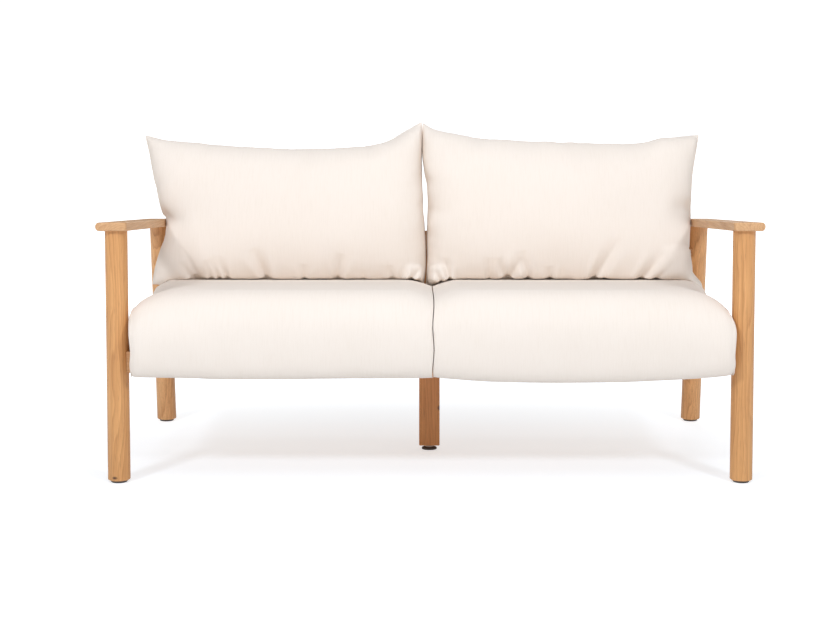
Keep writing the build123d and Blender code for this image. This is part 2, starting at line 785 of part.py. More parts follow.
# Seat cushions: a loft of side outlines, with a foam block inside
def seat_profile(x, inner_share, outer_share):
    """The side outline of a seat cushion at one X, drawn in towards its ends."""
    draw = seat_end_draw * max(inner_share, outer_share)
    top = seat_thickness - seat_inner_end_drop * inner_share - seat_outer_end_drop * outer_share
    front = draw - seat_front_reach
    lip = draw - seat_lip_drop
    rear = seat_rear_setback - draw
    root = -long_rail_thickness / 2 - soft_gap - seat_lip_clear
    with BuildSketch(profile_plane(x)) as profile:
        with BuildLine():
            under = Line((rear - top * seat_heel_reach_share, soft_gap), (root, soft_gap))
            behind = Line(under @ 1, (root, lip * seat_lip_root_share))
            toe = (front + (root - front) * seat_lip_toe_share, lip * seat_lip_root_share)
            lip_arc = ThreePointArc(behind @ 1, ((root + front) / 2, lip), toe)
            brow = (front + top * seat_brow_reach_share, top * seat_brow_share)
            face = ThreePointArc(lip_arc @ 1, (front, top * seat_belly_share), brow)
            roll_mid = (front + top * seat_roll_reach_share, top * seat_roll_share)
            roll = ThreePointArc(face @ 1, roll_mid, (front + top * seat_crest_share, top))
            crown = Line(roll @ 1, (rear - top * seat_rear_crest_share, top))
            heel_mid = (rear - top * seat_rear_roll_share, top * seat_roll_share)
            heel = ThreePointArc(crown @ 1, heel_mid, (rear, top * seat_heel_share))
            ThreePointArc(heel @ 1, (rear, top * seat_heel_roll_share), under @ 0)
        make_face()
    return profile.sketch


def seat_core(start_x, end_x, gap=0.0):
    """The foam block of a seat cushion, or the space that it fills."""
    core_front = -long_rail_thickness / 2
    core_length = (seat_rear_setback - seat_core_margin - core_front) / cos(slope)
    centre = ((start_x + end_x) / 2, core_length / 2, 0)
    width = end_x - start_x - 2 * seat_core_margin
    block = bar(
        deck_plane(core_front, seat_thickness / 2),
        centre,
        (width + 2 * gap, core_length + 2 * gap, seat_core_thickness + 2 * gap),
    )
    with BuildPart() as core:
        add(block)
        fillet(core.edges(), seat_core_radius + gap)
    return core.part


seat_outer_x = leg_x - leg_radius - cushion_side_gap
for name, side in sides.items():
    inner_x = seat_parting_x + side * parting_gap / 2
    outer_x = side * seat_outer_x
    ends = sorted((inner_x, outer_x))
    with BuildPart() as seat_cushion:
        for share, inner_share, outer_share in seat_station_shares:
            add(seat_profile(inner_x + (outer_x - inner_x) * share, inner_share, outer_share))
        loft()
        split(bisect_by=deck_plane(0, seat_thickness), keep=Keep.BOTTOM)
        add(seat_core(*ends, soft_gap), mode=Mode.SUBTRACT)
    finish(seat_cushion.part, f"seat_cushion_{name}")
    finish(seat_core(*ends), f"seat_core_{name}")

# Back cushions: two lofts from the seam, to the front crown and to the rear one
pillow_foot_height = deck_z(seat_rear_setback, seat_thickness) - pillow_foot_sink
pillow_waist_middle = (rear_joint_z + arm_thickness / 2 - pillow_foot_height) / cos(lean)
pillow_low_waist = pillow_waist_middle - pillow_waist_band / 2
pillow_high_waist = pillow_waist_middle + pillow_waist_band / 2
pillow_seam_plane = back_plane(pillow_foot_height, pillow_rear_crown + soft_gap)
seat_room_height = 2 * seat_thickness
seat_room = bar(
    deck_plane(0, seat_thickness + soft_gap),
    (0, seat_rear_setback, -seat_room_height / 2),
    (2 * (seat_outer_x + soft_gap), 2 * seat_rear_setback, seat_room_height),
)


def between(start, end, share):
    """The point that lies this share of the way from one point to another."""
    return tuple(a + (b - a) * share for a, b in zip(start, end))


def pillow_outlines(side, ear_reach):
    """The outlines of the seam and of the crown: corners in turn, with an arc point after each."""
    inner_x = pillow_parting_x + side * parting_gap / 2
    ear_x = side * ear_reach
    foot_x = side * pillow_foot_x
    waist_x = side * (arm_inner_x - soft_gap)
    mean_height = (pillow_inner_height + pillow_outer_height) / 2
    ear_flare_x = waist_x + (ear_x - waist_x) * pillow_ear_flare_share
    seam = [
        (inner_x, 0),
        ((inner_x + foot_x) / 2, 0),
        (foot_x, 0),
        (waist_x + (foot_x - waist_x) * pillow_flare_share, pillow_low_waist / 2),
        (waist_x, pillow_low_waist),
        (waist_x, (pillow_low_waist + pillow_high_waist) / 2),
        (waist_x, pillow_high_waist),
        (ear_flare_x, (pillow_high_waist + pillow_outer_height) / 2),
        (ear_x, pillow_outer_height),
        ((inner_x + ear_x) / 2, mean_height - pillow_top_dip),
        (inner_x, pillow_inner_height),
        (inner_x + side * pillow_inner_draw, pillow_inner_height / 2),
    ]
    inset = pillow_front_crown * pillow_crown_side_share
    near_x, far_x = inner_x + side * inset, waist_x - side * inset
    low = pillow_front_crown * pillow_crown_foot_share
    high = mean_height - pillow_top_dip - pillow_front_crown * pillow_crown_top_share
    far_side = [
        (far_x + side * pillow_crown_bow * bow, low + (high - low) * rise)
        for rise, bow in pillow_crown_bow_shares
    ]
    crown = [
        (near_x, low),
        ((near_x + far_x) / 2, low - pillow_crown_bow / 2),
        *far_side,
        ((near_x + far_x) / 2, high + pillow_crown_bow / 2),
        (near_x, high),
        (near_x - side * pillow_crown_bow, (low + high) / 2),
    ]
    return seam, crown


def pillow_section(plane, seam, crown, share):
    """One closed outline on its way from the seam to the crown."""
    points = [between(a, b, share) for a, b in zip(seam, crown)]
    with BuildSketch(plane) as section:
        with BuildLine():
            for start, middle, end in zip(points[0::2], points[1::2], points[2::2] + points[:1]):
                straight = Vector(*middle).sub(Vector(*start)).cross(Vector(*end).sub(Vector(*start)))
                if straight.length < soft_gap:
                    Line(start, end)
                else:
                    ThreePointArc(start, middle, end)
        make_face()
    return section.sketch


def pillow_core(side, gap=0.0):
    """The foam block of a back cushion, or the space that it fills."""
    middle_x = (side * arm_inner_x + pillow_parting_x) / 2
    forward = (pillow_front_crown - pillow_rear_crown) / 2
    size = (
        pillow_core_width + 2 * gap, pillow_core_height + 2 * gap, pillow_core_thickness + 2 * gap
    )
    with BuildPart() as core:
        add(bar(pillow_seam_plane, (middle_x, pillow_core_rise, forward), size))
        fillet(core.edges(), pillow_core_radius + gap)
    return core.part


for name, side in sides.items():
    ear_reach = pillow_left_ear_x if side < 0 else pillow_right_ear_x
    seam, crown = pillow_outlines(side, ear_reach)
    halves = []
    for depth, shares in (
        (pillow_front_crown, pillow_front_shares), (-pillow_rear_crown, pillow_rear_shares)
    ):
        with BuildPart() as half:
            for depth_share, crown_share in shares:
                plane = pillow_seam_plane.offset(depth * depth_share)
                add(pillow_section(plane, seam, crown, crown_share))
            loft()
        halves.append(half.part)
    with BuildPart() as back_cushion:
        for half in halves:
            add(half)
        add(seat_room, mode=Mode.SUBTRACT)
        add(pillow_core(side, soft_gap), mode=Mode.SUBTRACT)
    finish(back_cushion.part, f"back_cushion_{name}")
    finish(pillow_core(side), f"back_core_{name}")
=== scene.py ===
"""The finished look of a two-seat patio sofa: a teak frame, and cushions in an off-white outdoor cloth.

Metres, +Z up, front towards -Y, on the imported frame. Left and right are as seen from the front, and a
side is -1 on the left and 1 on the right.
A cover is cut and stuffed in its own directions first: across, along the cushion, and square to it.
Then it is laid in place, a seat cover on the sloping deck and a back cover against the leaning back.
"""

import math

import bpy
import numpy as np
from mathutils import Matrix, Vector
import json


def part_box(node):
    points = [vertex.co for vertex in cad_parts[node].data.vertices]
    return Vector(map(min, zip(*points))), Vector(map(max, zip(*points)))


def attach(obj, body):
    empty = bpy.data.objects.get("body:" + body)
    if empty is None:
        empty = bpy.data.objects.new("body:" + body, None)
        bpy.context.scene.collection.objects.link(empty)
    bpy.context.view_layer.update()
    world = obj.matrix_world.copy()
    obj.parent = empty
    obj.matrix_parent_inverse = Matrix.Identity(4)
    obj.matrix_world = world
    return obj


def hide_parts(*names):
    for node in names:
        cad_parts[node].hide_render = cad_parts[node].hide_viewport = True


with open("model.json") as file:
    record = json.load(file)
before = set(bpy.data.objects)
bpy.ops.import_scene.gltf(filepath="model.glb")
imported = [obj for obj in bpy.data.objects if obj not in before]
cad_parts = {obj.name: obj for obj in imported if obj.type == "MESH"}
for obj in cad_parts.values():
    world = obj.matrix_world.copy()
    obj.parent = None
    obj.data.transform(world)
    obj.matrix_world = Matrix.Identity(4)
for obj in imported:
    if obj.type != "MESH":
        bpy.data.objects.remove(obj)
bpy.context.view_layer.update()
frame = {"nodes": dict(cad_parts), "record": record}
scene = bpy.context.scene


# The photograph's view
def set_camera():
    """A long lens from the front, a little above the cushions."""
    pitch_down = 3.988
    data = bpy.data.cameras.new("camera")
    data.lens = 68.85
    data.sensor_width = 36.0
    data.shift_y = -0.13
    camera = bpy.data.objects.new("camera", data)
    scene.collection.objects.link(camera)
    camera.location = (-0.0237, -4.033, 0.9036)
    camera.rotation_euler = (math.radians(90 - pitch_down), 0, 0)
    scene.camera = camera


# Shader nodes
def feed(tree, node, inputs):
    """Set a node's inputs, each by its name or number, or link them where a socket is given."""
    for key, value in inputs.items():
        if isinstance(value, bpy.types.NodeSocket):
            tree.links.new(value, node.inputs[key])
        else:
            node.inputs[key].default_value = value


def add_node(tree, kind, inputs=None, **settings):
    """A node with its properties and its inputs set."""
    node = tree.nodes.new(kind)
    for key, value in settings.items():
        setattr(node, key, value)
    feed(tree, node, inputs or {})
    return node


def maths(tree, operation, first, second=0.0, third=0.0):
    """One sum."""
    node = add_node(tree, "ShaderNodeMath", {0: first, 1: second, 2: third}, operation=operation)
    return node.outputs[0]


def stretch(tree, vector, factors):
    """A vector with each of its parts multiplied by a factor."""
    node = add_node(tree, "ShaderNodeVectorMath", {0: vector, 1: factors}, operation="MULTIPLY")
    return node.outputs[0]


def noise(tree, vector, scale, detail, roughness=0.5):
    """Smooth noise around a half."""
    inputs = {"Vector": vector, "Scale": scale, "Detail": detail, "Roughness": roughness}
    return add_node(tree, "ShaderNodeTexNoise", inputs).outputs["Fac"]


def grey_ramp(tree, share, stops):
    """A grey level that changes over a share, from stop to stop."""
    node = add_node(tree, "ShaderNodeValToRGB", {0: share})
    elements = node.color_ramp.elements
    for index, (place, grey) in enumerate(stops):
        element = elements[index] if index < 2 else elements.new(place)
        element.position = place
        element.color = (grey, grey, grey, 1)
    return node.outputs["Color"]


def mix(tree, share, first, second):
    """Two colours mixed."""
    node = add_node(tree, "ShaderNodeMix", {0: share}, data_type="RGBA")
    first_colour, second_colour, mixed_colour = 6, 7, 2
    feed(tree, node, {first_colour: first, second_colour: second})
    return node.outputs[mixed_colour]


def bump(tree, height, strength, distance):
    """A bump from a height."""
    node = add_node(tree, "ShaderNodeBump", {"Height": height, "Strength": strength, "Distance": distance})
    return node.outputs["Normal"]


def new_material(name):
    """A node material, its tree and its shader, and the place of each point on the object."""
    material = bpy.data.materials.new(name)
    material.use_nodes = True
    tree = material.node_tree
    place = add_node(tree, "ShaderNodeTexCoord").outputs["Object"]
    return material, tree, tree.nodes["Principled BSDF"], place


# Studio
floor_white = (0.505, 0.55, 0.59, 1)
lamp_white = (0.935, 1.0, 1.085)
surround_white = (0.98, 1, 1.02, 1)


def soft_box(name, place, aim, width, height, power):
    """A rectangular studio lamp that faces a point."""
    data = bpy.data.lights.new(name, "AREA")
    data.shape = "RECTANGLE"
    data.size, data.size_y = width, height
    data.energy = power
    data.color = lamp_white
    lamp = bpy.data.objects.new(name, data)
    scene.collection.objects.link(lamp)
    lamp.location = place
    lamp.rotation_mode = "QUATERNION"
    lamp.rotation_quaternion = (Vector(aim) - Vector(place)).to_track_quat("-Z", "Y")


def build_studio():
    """A white floor with a painted glow, fading into a white surround, and large soft lamps."""
    reach = 30.0
    floor_mesh = bpy.data.meshes.new("studio_floor")
    floor_mesh.from_pydata(
        [(-reach, -reach, 0), (reach, -reach, 0), (reach, reach, 0), (-reach, reach, 0)], [], [(0, 1, 2, 3)]
    )
    floor = bpy.data.objects.new("studio_floor", floor_mesh)
    scene.collection.objects.link(floor)

    # The floor's emission is painted light: a glow dimmest round a point just in front of the sofa and rising
    # further off, so the shade under the sofa fades towards the back, plus an even lift that only the camera
    # sees.
    glow_middle, camera_lift = (0, -0.6, 0), 0.25
    material, tree, shader, place = new_material("studio white")
    away = add_node(tree, "ShaderNodeVectorMath", {0: place, 1: glow_middle}, operation="DISTANCE")
    painted_glow = add_node(
        tree, "ShaderNodeMapRange",
        {"Value": away.outputs["Value"], "From Min": 0.55, "From Max": 2.9, "To Min": 0.38, "To Max": 1.0},
        interpolation_type="SMOOTHSTEP",
    ).outputs[0]
    seen = add_node(tree, "ShaderNodeLightPath").outputs["Is Camera Ray"]
    feed(tree, shader, {
        "Base Color": floor_white, "Roughness": 0.8, "Specular IOR Level": 0.0,
        "Emission Color": maths(tree, "MULTIPLY_ADD", seen, camera_lift, painted_glow), "Emission Strength": 1.0,
    })
    floor_mesh.materials.append(material)

    soft_box("left front lamp", (-2.3, -3.7, 3.0), (0, 0, 0.35), 0.6, 0.6, 76)
    soft_box("right front lamp", (2.3, -3.7, 3.0), (0, 0, 0.35), 0.6, 0.6, 68)
    soft_box("top lamp", (0, -1.3, 3.2), (0, -0.1, 0.3), 3.2, 2.0, 46)
    soft_box("back lamp", (0.5, 3.4, 2.8), (0, 0, 0.5), 1.8, 1.8, 34)

    world = bpy.data.worlds.new("studio surround")
    world.use_nodes = True
    tree = world.node_tree
    seen = add_node(tree, "ShaderNodeLightPath").outputs["Is Camera Ray"]
    strength = add_node(tree, "ShaderNodeMapRange", {"Value": seen, "To Min": 0.26, "To Max": 1.1}).outputs[0]
    feed(tree, tree.nodes["Background"], {"Color": surround_white, "Strength": strength})
    scene.world = world
    scene.view_settings.view_transform = "Standard"


# Shader groups
teak_light, teak_dark = (0.77, 0.388, 0.143, 1), (0.45, 0.18, 0.052, 1)
# The armrests' own teak tones are painted light: darker than the frame's teak to hold back the extra light
# their tops catch, and paler and greyer as a painted sheen.
arm_light_shade_and_sheen, arm_dark_shade_and_sheen = (0.70, 0.42, 0.205, 1), (0.46, 0.215, 0.09, 1)
pore_colour, knot_colour = (0.2, 0.09, 0.035, 1), (0.09, 0.035, 0.015, 1)
cloth_colour, yarn_colour = (0.82, 0.718, 0.63, 1), (0.745, 0.634, 0.53, 1)
surface_outputs = [
    ("Color", "NodeSocketColor"), ("Roughness", "NodeSocketFloat"), ("Height", "NodeSocketFloat"),
]


def new_group(name, inputs, outputs):
    """An empty shader group with named sockets, and its input and output nodes."""
    group = bpy.data.node_groups.new(name, "ShaderNodeTree")
    for socket, kind, value in inputs:
        made = group.interface.new_socket(socket, in_out="INPUT", socket_type=kind)
        if value is not None:
            made.default_value = value
    for socket, kind in outputs:
        group.interface.new_socket(socket, in_out="OUTPUT", socket_type=kind)
    return group, group.nodes.new("NodeGroupInput"), group.nodes.new("NodeGroupOutput")


def teak_grain_group():
    """Teak with its grain along Z: bands of early and late wood, fine pores and slow drifts of tone."""
    group, given, made = new_group(
        "teak grain",
        [
            ("Vector", "NodeSocketVector", None),
            ("Light wood", "NodeSocketColor", teak_light),
            ("Dark wood", "NodeSocketColor", teak_dark),
            ("Band width", "NodeSocketFloat", 0.016),
            ("Band strength", "NodeSocketFloat", 0.34),
        ],
        surface_outputs,
    )
    streak_weight, tone_weight, pore_weight = 0.75, 0.5, 0.28
    lightest, darkest = 0.4, 1.25
    vector = given.outputs["Vector"]
    along = stretch(group, vector, (1, 1, 0.11))
    drift = add_node(
        group, "ShaderNodeTexNoise", {"Vector": along, "Scale": 13.0, "Detail": 3.0}
    ).outputs["Color"]
    bend = add_node(
        group, "ShaderNodeVectorMath", {0: drift, 1: (0.12, 0.12, 0.0), 2: along}, operation="MULTIPLY_ADD"
    ).outputs[0]
    ring_scale = maths(group, "DIVIDE", 0.5, given.outputs["Band width"])
    rings = add_node(
        group, "ShaderNodeTexWave", {"Vector": bend, "Scale": ring_scale, "Distortion": 1.4, "Detail": 2.0},
        wave_type="RINGS", rings_direction="Z", wave_profile="SAW",
    ).outputs["Fac"]
    bands = grey_ramp(group, rings, [(0.0, 0.0), (0.72, 0.55), (0.9, 1.0), (1.0, 0.1)])
    streaks = noise(group, stretch(group, vector, (1, 1, 0.02)), 170.0, 4.0, 0.6)
    pores = noise(group, stretch(group, vector, (1, 1, 0.035)), 900.0, 1.0)
    pore_mask = grey_ramp(group, pores, [(0.60, 0.0), (0.70, 1.0)])
    tone = noise(group, vector, 5.0, 2.0)

    band_share = maths(group, "MULTIPLY", bands, given.outputs["Band strength"])
    streak_share = maths(group, "MULTIPLY_ADD", streaks, streak_weight, band_share)
    dark_share = maths(group, "MULTIPLY_ADD", tone, tone_weight, streak_share)
    share = add_node(
        group, "ShaderNodeMapRange", {"Value": dark_share, "From Min": lightest, "From Max": darkest}
    ).outputs[0]
    wood = mix(group, share, given.outputs["Light wood"], given.outputs["Dark wood"])
    feed(group, made, {
        "Color": mix(group, maths(group, "MULTIPLY", pore_mask, pore_weight), wood, pore_colour),
        "Roughness": maths(group, "MULTIPLY_ADD", streaks, 0.22, 0.36),
        "Height": maths(group, "MULTIPLY_ADD", pore_mask, -0.7, streaks),
    })
    return group


def knot_group():
    """A small round mark in the wood, dark in the middle with a softer ring."""
    group, given, made = new_group(
        "wood knot",
        [
            ("Vector", "NodeSocketVector", None),
            ("Centre", "NodeSocketVector", (0, 0, 0)),
            ("Stretch", "NodeSocketVector", (1, 1, 1)),
            ("Radius", "NodeSocketFloat", 0.006),
        ],
        [("Mask", "NodeSocketFloat")],
    )
    offset = add_node(
        group, "ShaderNodeVectorMath", {0: given.outputs["Vector"], 1: given.outputs["Centre"]},
        operation="SUBTRACT",
    ).outputs[0]
    stretched = stretch(group, offset, given.outputs["Stretch"])
    away = add_node(group, "ShaderNodeVectorMath", {0: stretched}, operation="LENGTH").outputs["Value"]
    share = maths(group, "DIVIDE", away, given.outputs["Radius"])
    feed(group, made, {"Mask": grey_ramp(group, share, [(0.0, 1.0), (0.45, 0.85), (1.0, 0.0)])})
    return group


def cloth_weave_group():
    """A plain weave of fine yarns with slubs, and slow drifts of tone like a piece-dyed cloth."""
    group, given, made = new_group(
        "cloth weave",
        [
            ("Vector", "NodeSocketVector", None),
            ("Cloth colour", "NodeSocketColor", cloth_colour),
            ("Yarn colour", "NodeSocketColor", yarn_colour),
            ("Yarns per metre", "NodeSocketFloat", 1100.0),
            ("Slub strength", "NodeSocketFloat", 0.25),
        ],
        surface_outputs,
    )
    wave_scale_per_yarn, tone_weight, weave_weight = 0.16, 0.3, -0.25
    vector = given.outputs["Vector"]
    scale = maths(group, "MULTIPLY", given.outputs["Yarns per metre"], wave_scale_per_yarn)
    weft, warp = (
        add_node(
            group, "ShaderNodeTexWave", {"Vector": vector, "Scale": scale, "Distortion": 0.6, "Detail": 1.0},
            wave_type="BANDS", bands_direction=direction,
        ).outputs["Fac"]
        for direction in ("X", "Z")
    )
    weave = maths(group, "MULTIPLY", weft, warp)
    slubs = noise(group, stretch(group, vector, (1, 0.06, 0.06)), 420.0, 2.0)
    slub_mask = grey_ramp(group, slubs, [(0.45, 0.0), (0.75, 1.0)])
    tone = noise(group, vector, 7.0, 2.0)
    slub_share = maths(group, "MULTIPLY", slub_mask, given.outputs["Slub strength"])
    drift_share = maths(group, "MULTIPLY_ADD", tone, tone_weight, slub_share)
    share = maths(group, "MULTIPLY_ADD", weave, weave_weight, drift_share)
    feed(group, made, {
        "Color": mix(group, share, given.outputs["Cloth colour"], given.outputs["Yarn colour"]),
        "Roughness": maths(group, "MULTIPLY_ADD", weave, -0.1, 0.92),
        "Height": maths(group, "MULTIPLY_ADD", slubs, 0.8, weave),
    })
    return group


teak_grain = teak_grain_group()
wood_knot = knot_group()
cloth_weave = cloth_weave_group()


# Materials
grain_turns = {"upright": (0, 0, 0), "across": (0, 90, 0), "lengthwise": (90, 0, 0)}


def teak(name, grain, shift, light=teak_light, dark=teak_dark, knots=()):
    """Oiled teak, sawn with its grain along one of the sofa's directions."""
    material, tree, shader, place = new_material(name)
    turn = [math.radians(angle) for angle in grain_turns[grain]]
    sawn = add_node(
        tree, "ShaderNodeMapping", {"Vector": place, "Location": shift, "Rotation": turn}
    ).outputs[0]
    wood = add_node(
        tree, "ShaderNodeGroup", {"Vector": sawn, "Light wood": light, "Dark wood": dark},
        node_tree=teak_grain,
    )
    colour = wood.outputs["Color"]
    for centre, flattening, radius in knots:
        mark = add_node(
            tree, "ShaderNodeGroup",
            {"Vector": place, "Centre": centre, "Stretch": flattening, "Radius": radius}, node_tree=wood_knot,
        ).outputs["Mask"]
        colour = mix(tree, mark, colour, knot_colour)
    feed(tree, shader, {
        "Base Color": colour, "Roughness": wood.outputs["Roughness"],
        "Normal": bump(tree, wood.outputs["Height"], strength=0.35, distance=0.0004),
        "Specular IOR Level": 0.5,
    })
    return material


def outdoor_cloth():
    """Off-white woven outdoor cloth, matt, with a faint sheen at the edges."""
    material, tree, shader, place = new_material("off-white outdoor cloth")
    weave = add_node(tree, "ShaderNodeGroup", {"Vector": place}, node_tree=cloth_weave)
    feed(tree, shader, {
        "Base Color": weave.outputs["Color"], "Roughness": weave.outputs["Roughness"],
        "Normal": bump(tree, weave.outputs["Height"], strength=0.25, distance=0.0003),
        "Specular IOR Level": 0.2, "Sheen Weight": 0.1, "Sheen Roughness": 0.5,
    })
    return material


def turned_metal(name, colour, roughness):
    """Plated or plain metal with fine turning marks."""
    material, tree, shader, place = new_material(name)
    mark_shade = 0.8
    marks = noise(tree, place, 900.0, 2.0)
    darker = tuple(mark_shade * part for part in colour[:3]) + (1,)
    feed(tree, shader, {
        "Base Color": mix(tree, marks, colour, darker),
        "Roughness": maths(tree, "MULTIPLY_ADD", marks, 0.2, roughness),
        "Normal": bump(tree, marks, strength=0.1, distance=0.0001),
        "Metallic": 1.0,
    })
    return material


def moulded_plastic(name, low_colour, high_colour, change_height):
    """Moulded plastic with a fine spark texture, in one colour below a height and another above it."""
    material, tree, shader, place = new_material(name)
    worn_colour, worn_share = (0.35, 0.34, 0.33, 1), 0.3
    height = add_node(tree, "ShaderNodeSeparateXYZ", {"Vector": place}).outputs["Z"]
    above = maths(tree, "GREATER_THAN", height, change_height)
    speckle = noise(tree, place, 1500.0, 2.0)
    colour = mix(tree, above, low_colour, high_colour)
    feed(tree, shader, {
        "Base Color": mix(tree, maths(tree, "MULTIPLY", speckle, worn_share), colour, worn_colour),
        "Roughness": maths(tree, "MULTIPLY_ADD", speckle, 0.2, 0.5),
        "Normal": bump(tree, speckle, strength=0.2, distance=0.0001),
    })
    return material


# The planes that the cushions lie on
def tilted_plane(origin, tilt):
    """Across, along and square directions of a plane that is tilted about the sofa's width."""
    cosine, sine = math.cos(tilt), math.sin(tilt)
    return Matrix(
        (
            (1, 0, 0, origin[0]),
            (0, cosine, -sine, origin[1]),
            (0, sine, cosine, origin[2]),
            (0, 0, 0, 1),
        )
    )


leg_low, leg_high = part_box("front_leg_left")
front_leg_y = (leg_low.y + leg_high.y) / 2
deck_height, deck_slope = 0.310, math.radians(3.7)
back_lean = math.radians(20.0)
back_foot_behind_legs, back_foot_height = 0.4949, 0.396
deck = tilted_plane((0, front_leg_y, deck_height), -deck_slope)
back_foot = (0, front_leg_y + back_foot_behind_legs, back_foot_height)
backrest = tilted_plane(back_foot, math.pi / 2 - back_lean)


# Cloth work
tiny = 1e-9


def new_cover(name, points, faces):
    """A cover's mesh as an object."""
    mesh = bpy.data.meshes.new(name)
    mesh.from_pydata([tuple(p) for p in points], [], faces)
    mesh.validate()
    mesh.polygons.foreach_set("use_smooth", [True] * len(mesh.polygons))
    cover = bpy.data.objects.new(name, mesh)
    scene.collection.objects.link(cover)
    return cover


def points_of(mesh):
    """All the points of a mesh as an array."""
    flat = np.empty(len(mesh.vertices) * 3)
    mesh.vertices.foreach_get("co", flat)
    return flat.reshape(-1, 3)


def set_points(mesh, points):
    """Move all the points of a mesh."""
    mesh.vertices.foreach_set("co", np.asarray(points, float).ravel())
    mesh.update()


def stuff(cover, pressure, most_move, frames=20):
    """Blow a cover up like stuffed cloth, with no point moving further than the given way."""
    start = points_of(cover.data)
    cloth = cover.modifiers.new("stuffing", "CLOTH")
    settings = cloth.settings
    settings.quality = 6
    settings.mass = 0.05
    settings.use_pressure = True
    settings.uniform_pressure_force = pressure
    settings.tension_stiffness = settings.compression_stiffness = 25
    settings.shear_stiffness = 8
    settings.bending_stiffness = 0.4
    settings.effector_weights.gravity = 0
    cloth.collision_settings.use_collision = False
    cloth.point_cache.frame_start, cloth.point_cache.frame_end = 1, frames
    for step in range(1, frames + 1):
        scene.frame_set(step)
    settled = cover.evaluated_get(bpy.context.evaluated_depsgraph_get())
    move = points_of(settled.data) - start
    cover.modifiers.remove(cloth)
    scene.frame_set(1)
    length = np.linalg.norm(move, axis=1, keepdims=True)
    return start + move * np.minimum(1, most_move / np.maximum(length, tiny))


def refine(cover):
    """Round a cover off with one subdivision, and keep the result."""
    rounding = cover.modifiers.new("rounding", "SUBSURF")
    rounding.levels = rounding.render_levels = 1
    rounding.boundary_smooth = "PRESERVE_CORNERS"
    finished = cover.evaluated_get(bpy.context.evaluated_depsgraph_get())
    mesh = bpy.data.meshes.new_from_object(finished)
    cover.modifiers.remove(rounding)
    cover.data = mesh


def smoothstep(share):
    """A share eased in and out."""
    return share**2 * (3 - 2 * share)


def hermite(t, start, end, reach, start_slope, end_slope):
    """A smooth way from a start to an end, with a slope at each, over the reach between them."""
    return (
        (2 * t**3 - 3 * t**2 + 1) * start + (t**3 - 2 * t**2 + t) * reach * start_slope
        + (-2 * t**3 + 3 * t**2) * end + (t**3 - t**2) * reach * end_slope
    )


def run_along(line):
    """The length of a line from its start to each of its points."""
    return np.concatenate([[0], np.cumsum(np.linalg.norm(np.diff(line, axis=0), axis=1))])


def spread(values, places, count):
    """Values at uneven places, spread smoothly over an even count."""
    shares = np.linspace(0, 1, count)
    index = np.clip(np.searchsorted(places, shares, side="right") - 1, 0, len(places) - 2)
    places, values = np.asarray(places, float), np.asarray(values, float)
    slopes = np.gradient(values, places)
    gap = places[index + 1] - places[index]
    t = (shares - places[index]) / gap
    return hermite(t, values[index], values[index + 1], gap, slopes[index], slopes[index + 1])


def smooth_loop(corners, count, steps=24):
    """A closed smooth line through given points, divided evenly by length."""
    corners = np.asarray(corners, float)
    dense = []
    for i in range(len(corners)):
        before, start, end, after = (corners[(i + k) % len(corners)] for k in (-1, 0, 1, 2))
        reach = np.linalg.norm(end - start)
        lead = (end - before) / max(np.linalg.norm(end - start) + np.linalg.norm(start - before), tiny)
        tail = (after - start) / max(np.linalg.norm(after - end) + np.linalg.norm(end - start), tiny)
        for t in np.linspace(0, 1, steps, endpoint=False):
            dense.append(hermite(t, start, end, reach, lead, tail))
    dense = np.array(dense + dense[:1])
    run = run_along(dense)
    even = np.linspace(0, run[-1], count, endpoint=False)
    return np.column_stack([np.interp(even, run, dense[:, axis]) for axis in (0, 1)])


def ruffle(places, seed, wave):
    """A gentle random wave along a line, about from -1 to 1, the same on every run."""
    rng = np.random.default_rng(seed)
    widest, falloff, octave_sum = 2.2, 0.4, 2.6
    total = np.zeros(len(places))
    for octave in range(1, 5):
        phase, pace = rng.uniform(0, 2 * math.pi), rng.uniform(0.8, 1.25)
        turns = np.asarray(places) * octave * pace / (wave * widest)
        total += np.sin(2 * math.pi * turns + phase) / octave**falloff
    return total / octave_sum


def place_on(matrix, points):
    """Points in a plane's own directions, in the sofa's."""
    turn = np.array(matrix.to_3x3())
    return points @ turn.T + np.array(matrix.translation)


def sewn_edge(name, lines, radius, matrix):
    """A fine rounded seam along closed lines."""
    points, faces, sides_round = [], [], 6
    no_seam_direction = (0.31, 0.17, 0.93)
    for line in lines:
        line = np.asarray(line)
        count, start = len(line), len(points)
        ahead = np.roll(line, -1, axis=0) - np.roll(line, 1, axis=0)
        ahead /= np.maximum(np.linalg.norm(ahead, axis=1, keepdims=True), tiny)
        square = np.cross(ahead, no_seam_direction)
        square /= np.maximum(np.linalg.norm(square, axis=1, keepdims=True), tiny)
        other = np.cross(ahead, square)
        for i in range(count):
            for k in range(sides_round):
                angle = 2 * math.pi * k / sides_round
                points.append(line[i] + radius * (math.cos(angle) * square[i] + math.sin(angle) * other[i]))
        for i in range(count):
            j = (i + 1) % count
            for k in range(sides_round):
                m = (k + 1) % sides_round
                a, b = start + i * sides_round, start + j * sides_round
                faces.append((a + k, a + m, b + m, b + k))
    return new_cover(name, place_on(matrix, np.array(points)), faces)


# Seat cushions
parting_x = 0.007
seat_outer_x = 0.698
seat_thickness = 0.139
seat_front, seat_rear = -0.0655, 0.5385
seat_lift, seat_top_clearance = 0.0008, 0.0008


